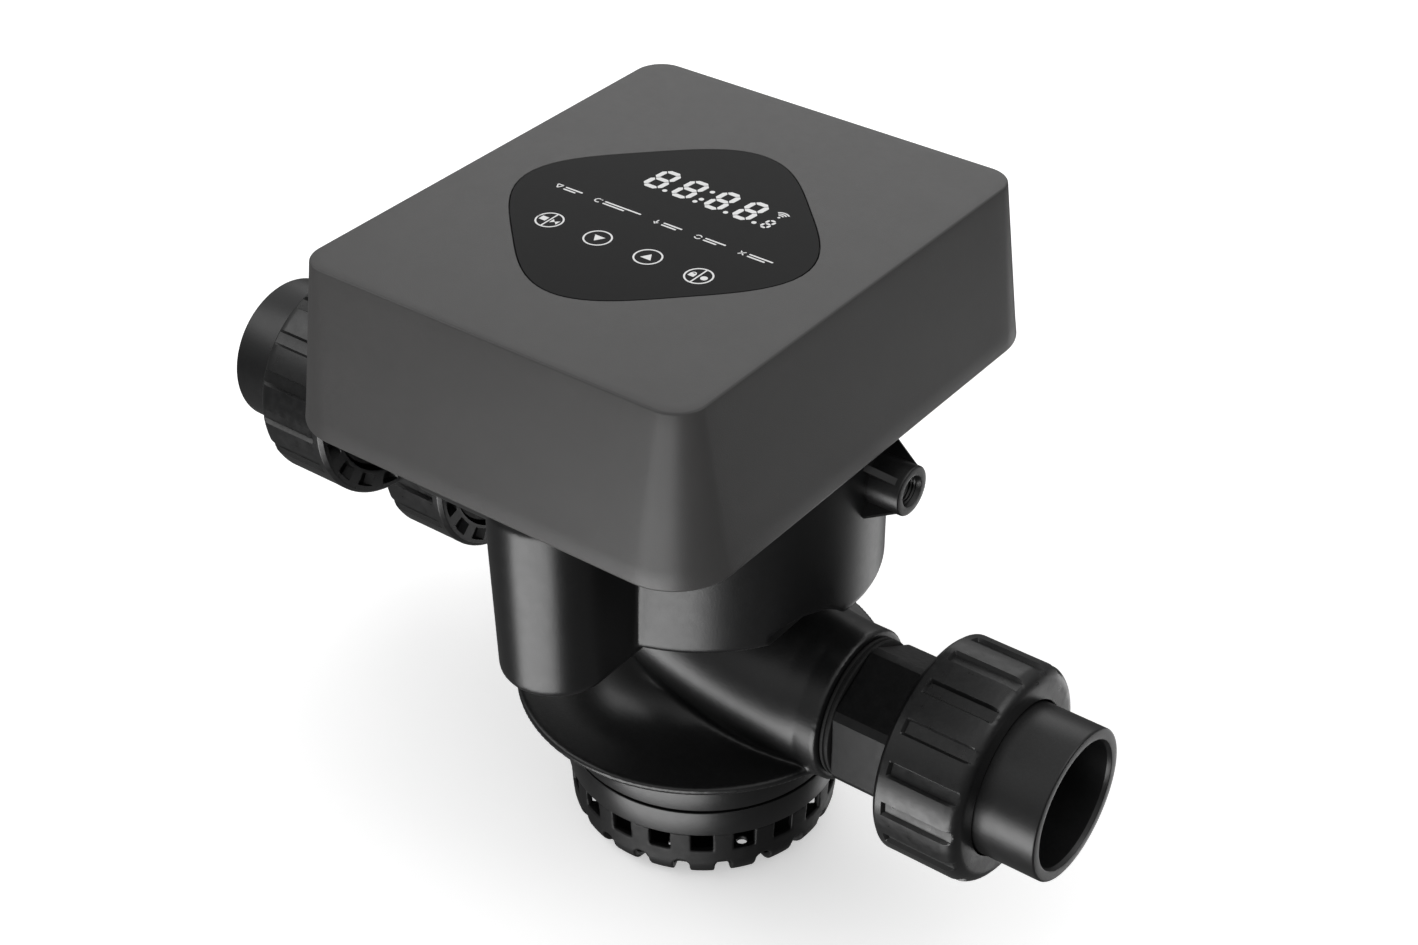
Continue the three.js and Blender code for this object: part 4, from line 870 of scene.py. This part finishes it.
def control_board():
    """The board with its chips, pads and capacitors."""
    board = rounded_box(-76, 46, 58, 98, BOARD_Z, BOARD_TOP, 2.0, 0.15)
    piece("control_board_laminate", *board, BOARD, "root", ("control_board",), slot="circuit_board", sharp=25)
    chips = [rounded_box(-20, 8, 64, 84, BOARD_TOP, BOARD_Z + 6, 0.8, 0.5),
             rounded_box(14, 30, 62, 74, BOARD_TOP, BOARD_Z + 12, 0.6, 0.4),
             rounded_box(-24, -14, 88, 95, BOARD_TOP, BOARD_Z + 3.2, 0.2, 0.2),
             rounded_box(14, 24, 80, 90, BOARD_TOP, BOARD_Z + 3.4, 0.2, 0.2)]
    pads = []
    for k in range(10):
        left = -19.5 + k * 2.8
        for front in (62.2, 83.8):
            pads.append(rounded_box(left, left + 1.2, front, front + 2.0, BOARD_TOP, BOARD_Z + 2.3, 0.1, 0.1))
    for _k in range(34):
        x, y = rng.uniform(-72, 42), rng.uniform(87, 95)
        chips.append(rounded_box(x, x + 1.6, y, y + 0.9, BOARD_TOP, BOARD_Z + 2.1, 0.05, 0.05))
        for end in (x - 0.5, x + 1.6):
            pads.append(rounded_box(end, end + 0.5, y, y + 0.9, BOARD_TOP, BOARD_Z + 2.0, 0.05, 0.05))
    piece("control_board_chips", *joined(*chips), CHIP, "root", slot="dark_plastic")
    piece("control_board_pads", *joined(*pads), COPPER, "root", slot="steel")
    cans = []
    for x, y, r, tall in ((40, 68, 5, 14), (34, 84, 3, 8), (40, 84, 3, 8)):
        top = BOARD_TOP + tall
        can = fillet([(0.01, BOARD_TOP, 0), (r, BOARD_TOP, 0.5), (r, BOARD_Z + 3, 0),
                      (r - 0.4, BOARD_Z + 3.4, 0.2), (r, BOARD_Z + 3.8, 0), (r, top, 0.6), (0.01, top, 0)], 4)
        cans.append(moved(lathe(can, even(36)), x, y))
    piece("control_board_capacitors", *joined(*cans), SLEEVE, "root", slot="dark_plastic")


def terminal_block():
    """Block with a raised row for the wires, divided by thin walls."""
    block = [rounded_box(-74, -30, 60, 69, BOARD_Z + 1.9, BOARD_Z + 11, 0.4, 0.3),
             rounded_box(-74, -30, 62.5, 66.5, BOARD_Z + 10.5, BOARD_Z + 14, 0.3, 0.3)]
    for k in range(8):
        left = -74 + 5.5 * k
        block.append(rounded_box(left, left + 0.8, 60.5, 68.5, BOARD_Z + 10.8, BOARD_Z + 13.2, 0.1, 0.1))
    piece("terminal_block_body", *joined(*block), DARK, "root", ("terminal_block",), slot="dark_plastic")


def gland():
    """Cable gland under the head: hexagonal head, neck, and a ribbed cap nut."""
    bore, neck_r, head_r, cap_r = 5, 7.8, 12, 11.5

    def hexed(t, r, h):
        return np.where(r > 9.9, r / np.cos((t + HEX_SIDE / 2) % HEX_SIDE - HEX_SIDE / 2) * 0.93, r), h

    head = fillet([(bore, 130.3, 0.4), (head_r, 130.3, 0.8), (head_r, 136, 0.5), (neck_r, 136, 0.2),
                   (neck_r, 144, 0.4), (bore, 144, 0.4)], 3)
    low = fillet([(bore, 124, 0), (neck_r, 124, 0.3), (neck_r, 131, 0), (bore, 131, 0)], 3)
    parts = [lathe(head, even(48), hexed), lathe(low, even(48))]
    verts, faces = joined(*[moved(p, *GLAND) for p in parts])
    piece("power_gland_body", verts, faces, DARK, "root", ("power_gland",), sharp=25)

    def grip(t, r, h):
        return np.where((r > 11) & (h < 127.5), r - 0.45 * (np.cos(t * 18) > 0.2), r), h

    nut = fillet([(4.2, 109.5, 0.4), (8.2, 109.5, 1.2), (cap_r, 114.5, 1.0), (cap_r, 127.4, 0),
                  (cap_r, 129, 0.5), (8.2, 129, 0.3), (8.2, 113, 0.2), (4.2, 113, 0.3)], 4)
    cap = moved(lathe(nut, even(144), grip), *GLAND)
    piece("power_gland_cap", *cap, DARK, "root", ("power_gland_nut",), sharp=25)


valve_body()
gauge_port()
for union in UNIONS:
    union_nut(*union)
    tailpiece(*union)
    pipe_socket(*union)
neck()
basket_band()
basket()
cover()
touch_panel()
panel_print()
for cad in [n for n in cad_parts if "_screw_" in n]:
    low, high = [[v / MM for v in corner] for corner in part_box(cad)]
    screw(cad, low, high, not cad.startswith("cover"), (cad,))
bonnet_screws()
control_board()
terminal_block()
gland()

# ------------------------------------------------------------------ materials of the CAD solids that stay
LOOKS = (
    (NYLON, ("port_plate", "rotor", "shaft_bush", "idler_gear", "drive_gear")),
    (STEEL, ("rotor_shaft", "rotor_spring", "gearmotor", "motor_pinion", "idler_pin")),
    (RUBBER, ("spider_gasket", "bonnet_oring")),
    (DARK, ("base_plate", "position_wheel")),
    (BOARD, ("display_board", "position_sensor")),
    (BLACK, ("bonnet",)),
)
for look, cads in LOOKS:
    for cad in cads:
        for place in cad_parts[cad].material_slots:
            place.material = look

# ------------------------------------------------------------------ floor, lights, camera
bpy.ops.mesh.primitive_grid_add(x_subdivisions=8, y_subdivisions=8, size=9.0, location=(0, 0, FLOOR_Z))
floor = bpy.context.object
floor.name = "floor"
pale = bpy.data.materials.new("floor_pale")
pale.use_nodes = True
paper = pale.node_tree.nodes["Principled BSDF"].inputs
paper["Base Color"].default_value = (0.93, 0.93, 0.93, 1)
paper["Roughness"].default_value = 0.9
paper["Specular IOR Level"].default_value = 0.0
paper["Emission Color"].default_value = (1, 1, 1, 1)
paper["Emission Strength"].default_value = 0.45
floor.data.materials.append(pale)
floor.visible_glossy = False
floor.visible_diffuse = False
floor.visible_shadow = False

world = bpy.data.worlds.new("studio")
bpy.context.scene.world = world
world.use_nodes = True
wt = world.node_tree
direction = wt.nodes.new("ShaderNodeTexCoord").outputs["Generated"]
split = wt.nodes.new("ShaderNodeSeparateXYZ")
wt.links.new(direction, split.inputs[0])
sky = wt.nodes.new("ShaderNodeValToRGB")
wt.links.new(ramp(wt, split.outputs["Z"], -1, 1, 0, 1), sky.inputs["Fac"])
stops = sky.color_ramp.elements
stops[0].position, stops[0].color = 0.0, (0.16, 0.16, 0.16, 1)
stops[1].position, stops[1].color = 1.0, (0.95, 0.95, 0.95, 1)
for at, grey in ((0.42, 0.13), (0.55, 0.28), (0.75, 0.75)):
    stop = stops.new(at)
    stop.color = (grey, grey, grey, 1)
wt.links.new(sky.outputs["Color"], wt.nodes["Background"].inputs["Color"])
wt.nodes["Background"].inputs["Strength"].default_value = 0.85


def softbox(name, place, size, power, aim=(0, 0, 0.06)):
    """Rectangular studio light, in metres and watts, aimed at the valve."""
    data = bpy.data.lights.new(name, "AREA")
    data.shape = "RECTANGLE"
    data.size, data.size_y = size
    data.energy = power
    lamp = bpy.data.objects.new(name, data)
    lamp.location = place
    lamp.rotation_euler = (Vector(aim) - Vector(place)).to_track_quat("-Z", "Y").to_euler()
    bpy.context.scene.collection.objects.link(lamp)


softbox("front_low", (0.05, -1.32, -0.87), (1.8, 0.8), 29)
softbox("key_left", (-1.2, -0.7, 1.3), (1.2, 1.0), 5.5)
softbox("right_high", (1.4, 0.5, 1.1), (0.9, 0.9), 4.2)
softbox("right_low", (0.35, 1.2, -0.8), (0.7, 0.8), 2.5)
softbox("back", (-0.75, 1.4, 0.95), (1.4, 0.9), 3.2)

cam_data = bpy.data.cameras.new("camera")
cam_data.lens = 61.92
cam_data.sensor_width = 36
cam_data.shift_x = -0.0089
cam_data.shift_y = -0.002
camera = bpy.data.objects.new("camera", cam_data)
camera.location = (0.4595, -0.6059, 0.6233)
camera.rotation_euler = (math.radians(90 - 34.64), 0, math.radians(36.64))
bpy.context.scene.collection.objects.link(camera)
bpy.context.scene.camera = camera
bpy.context.scene.view_settings.view_transform = "Standard"
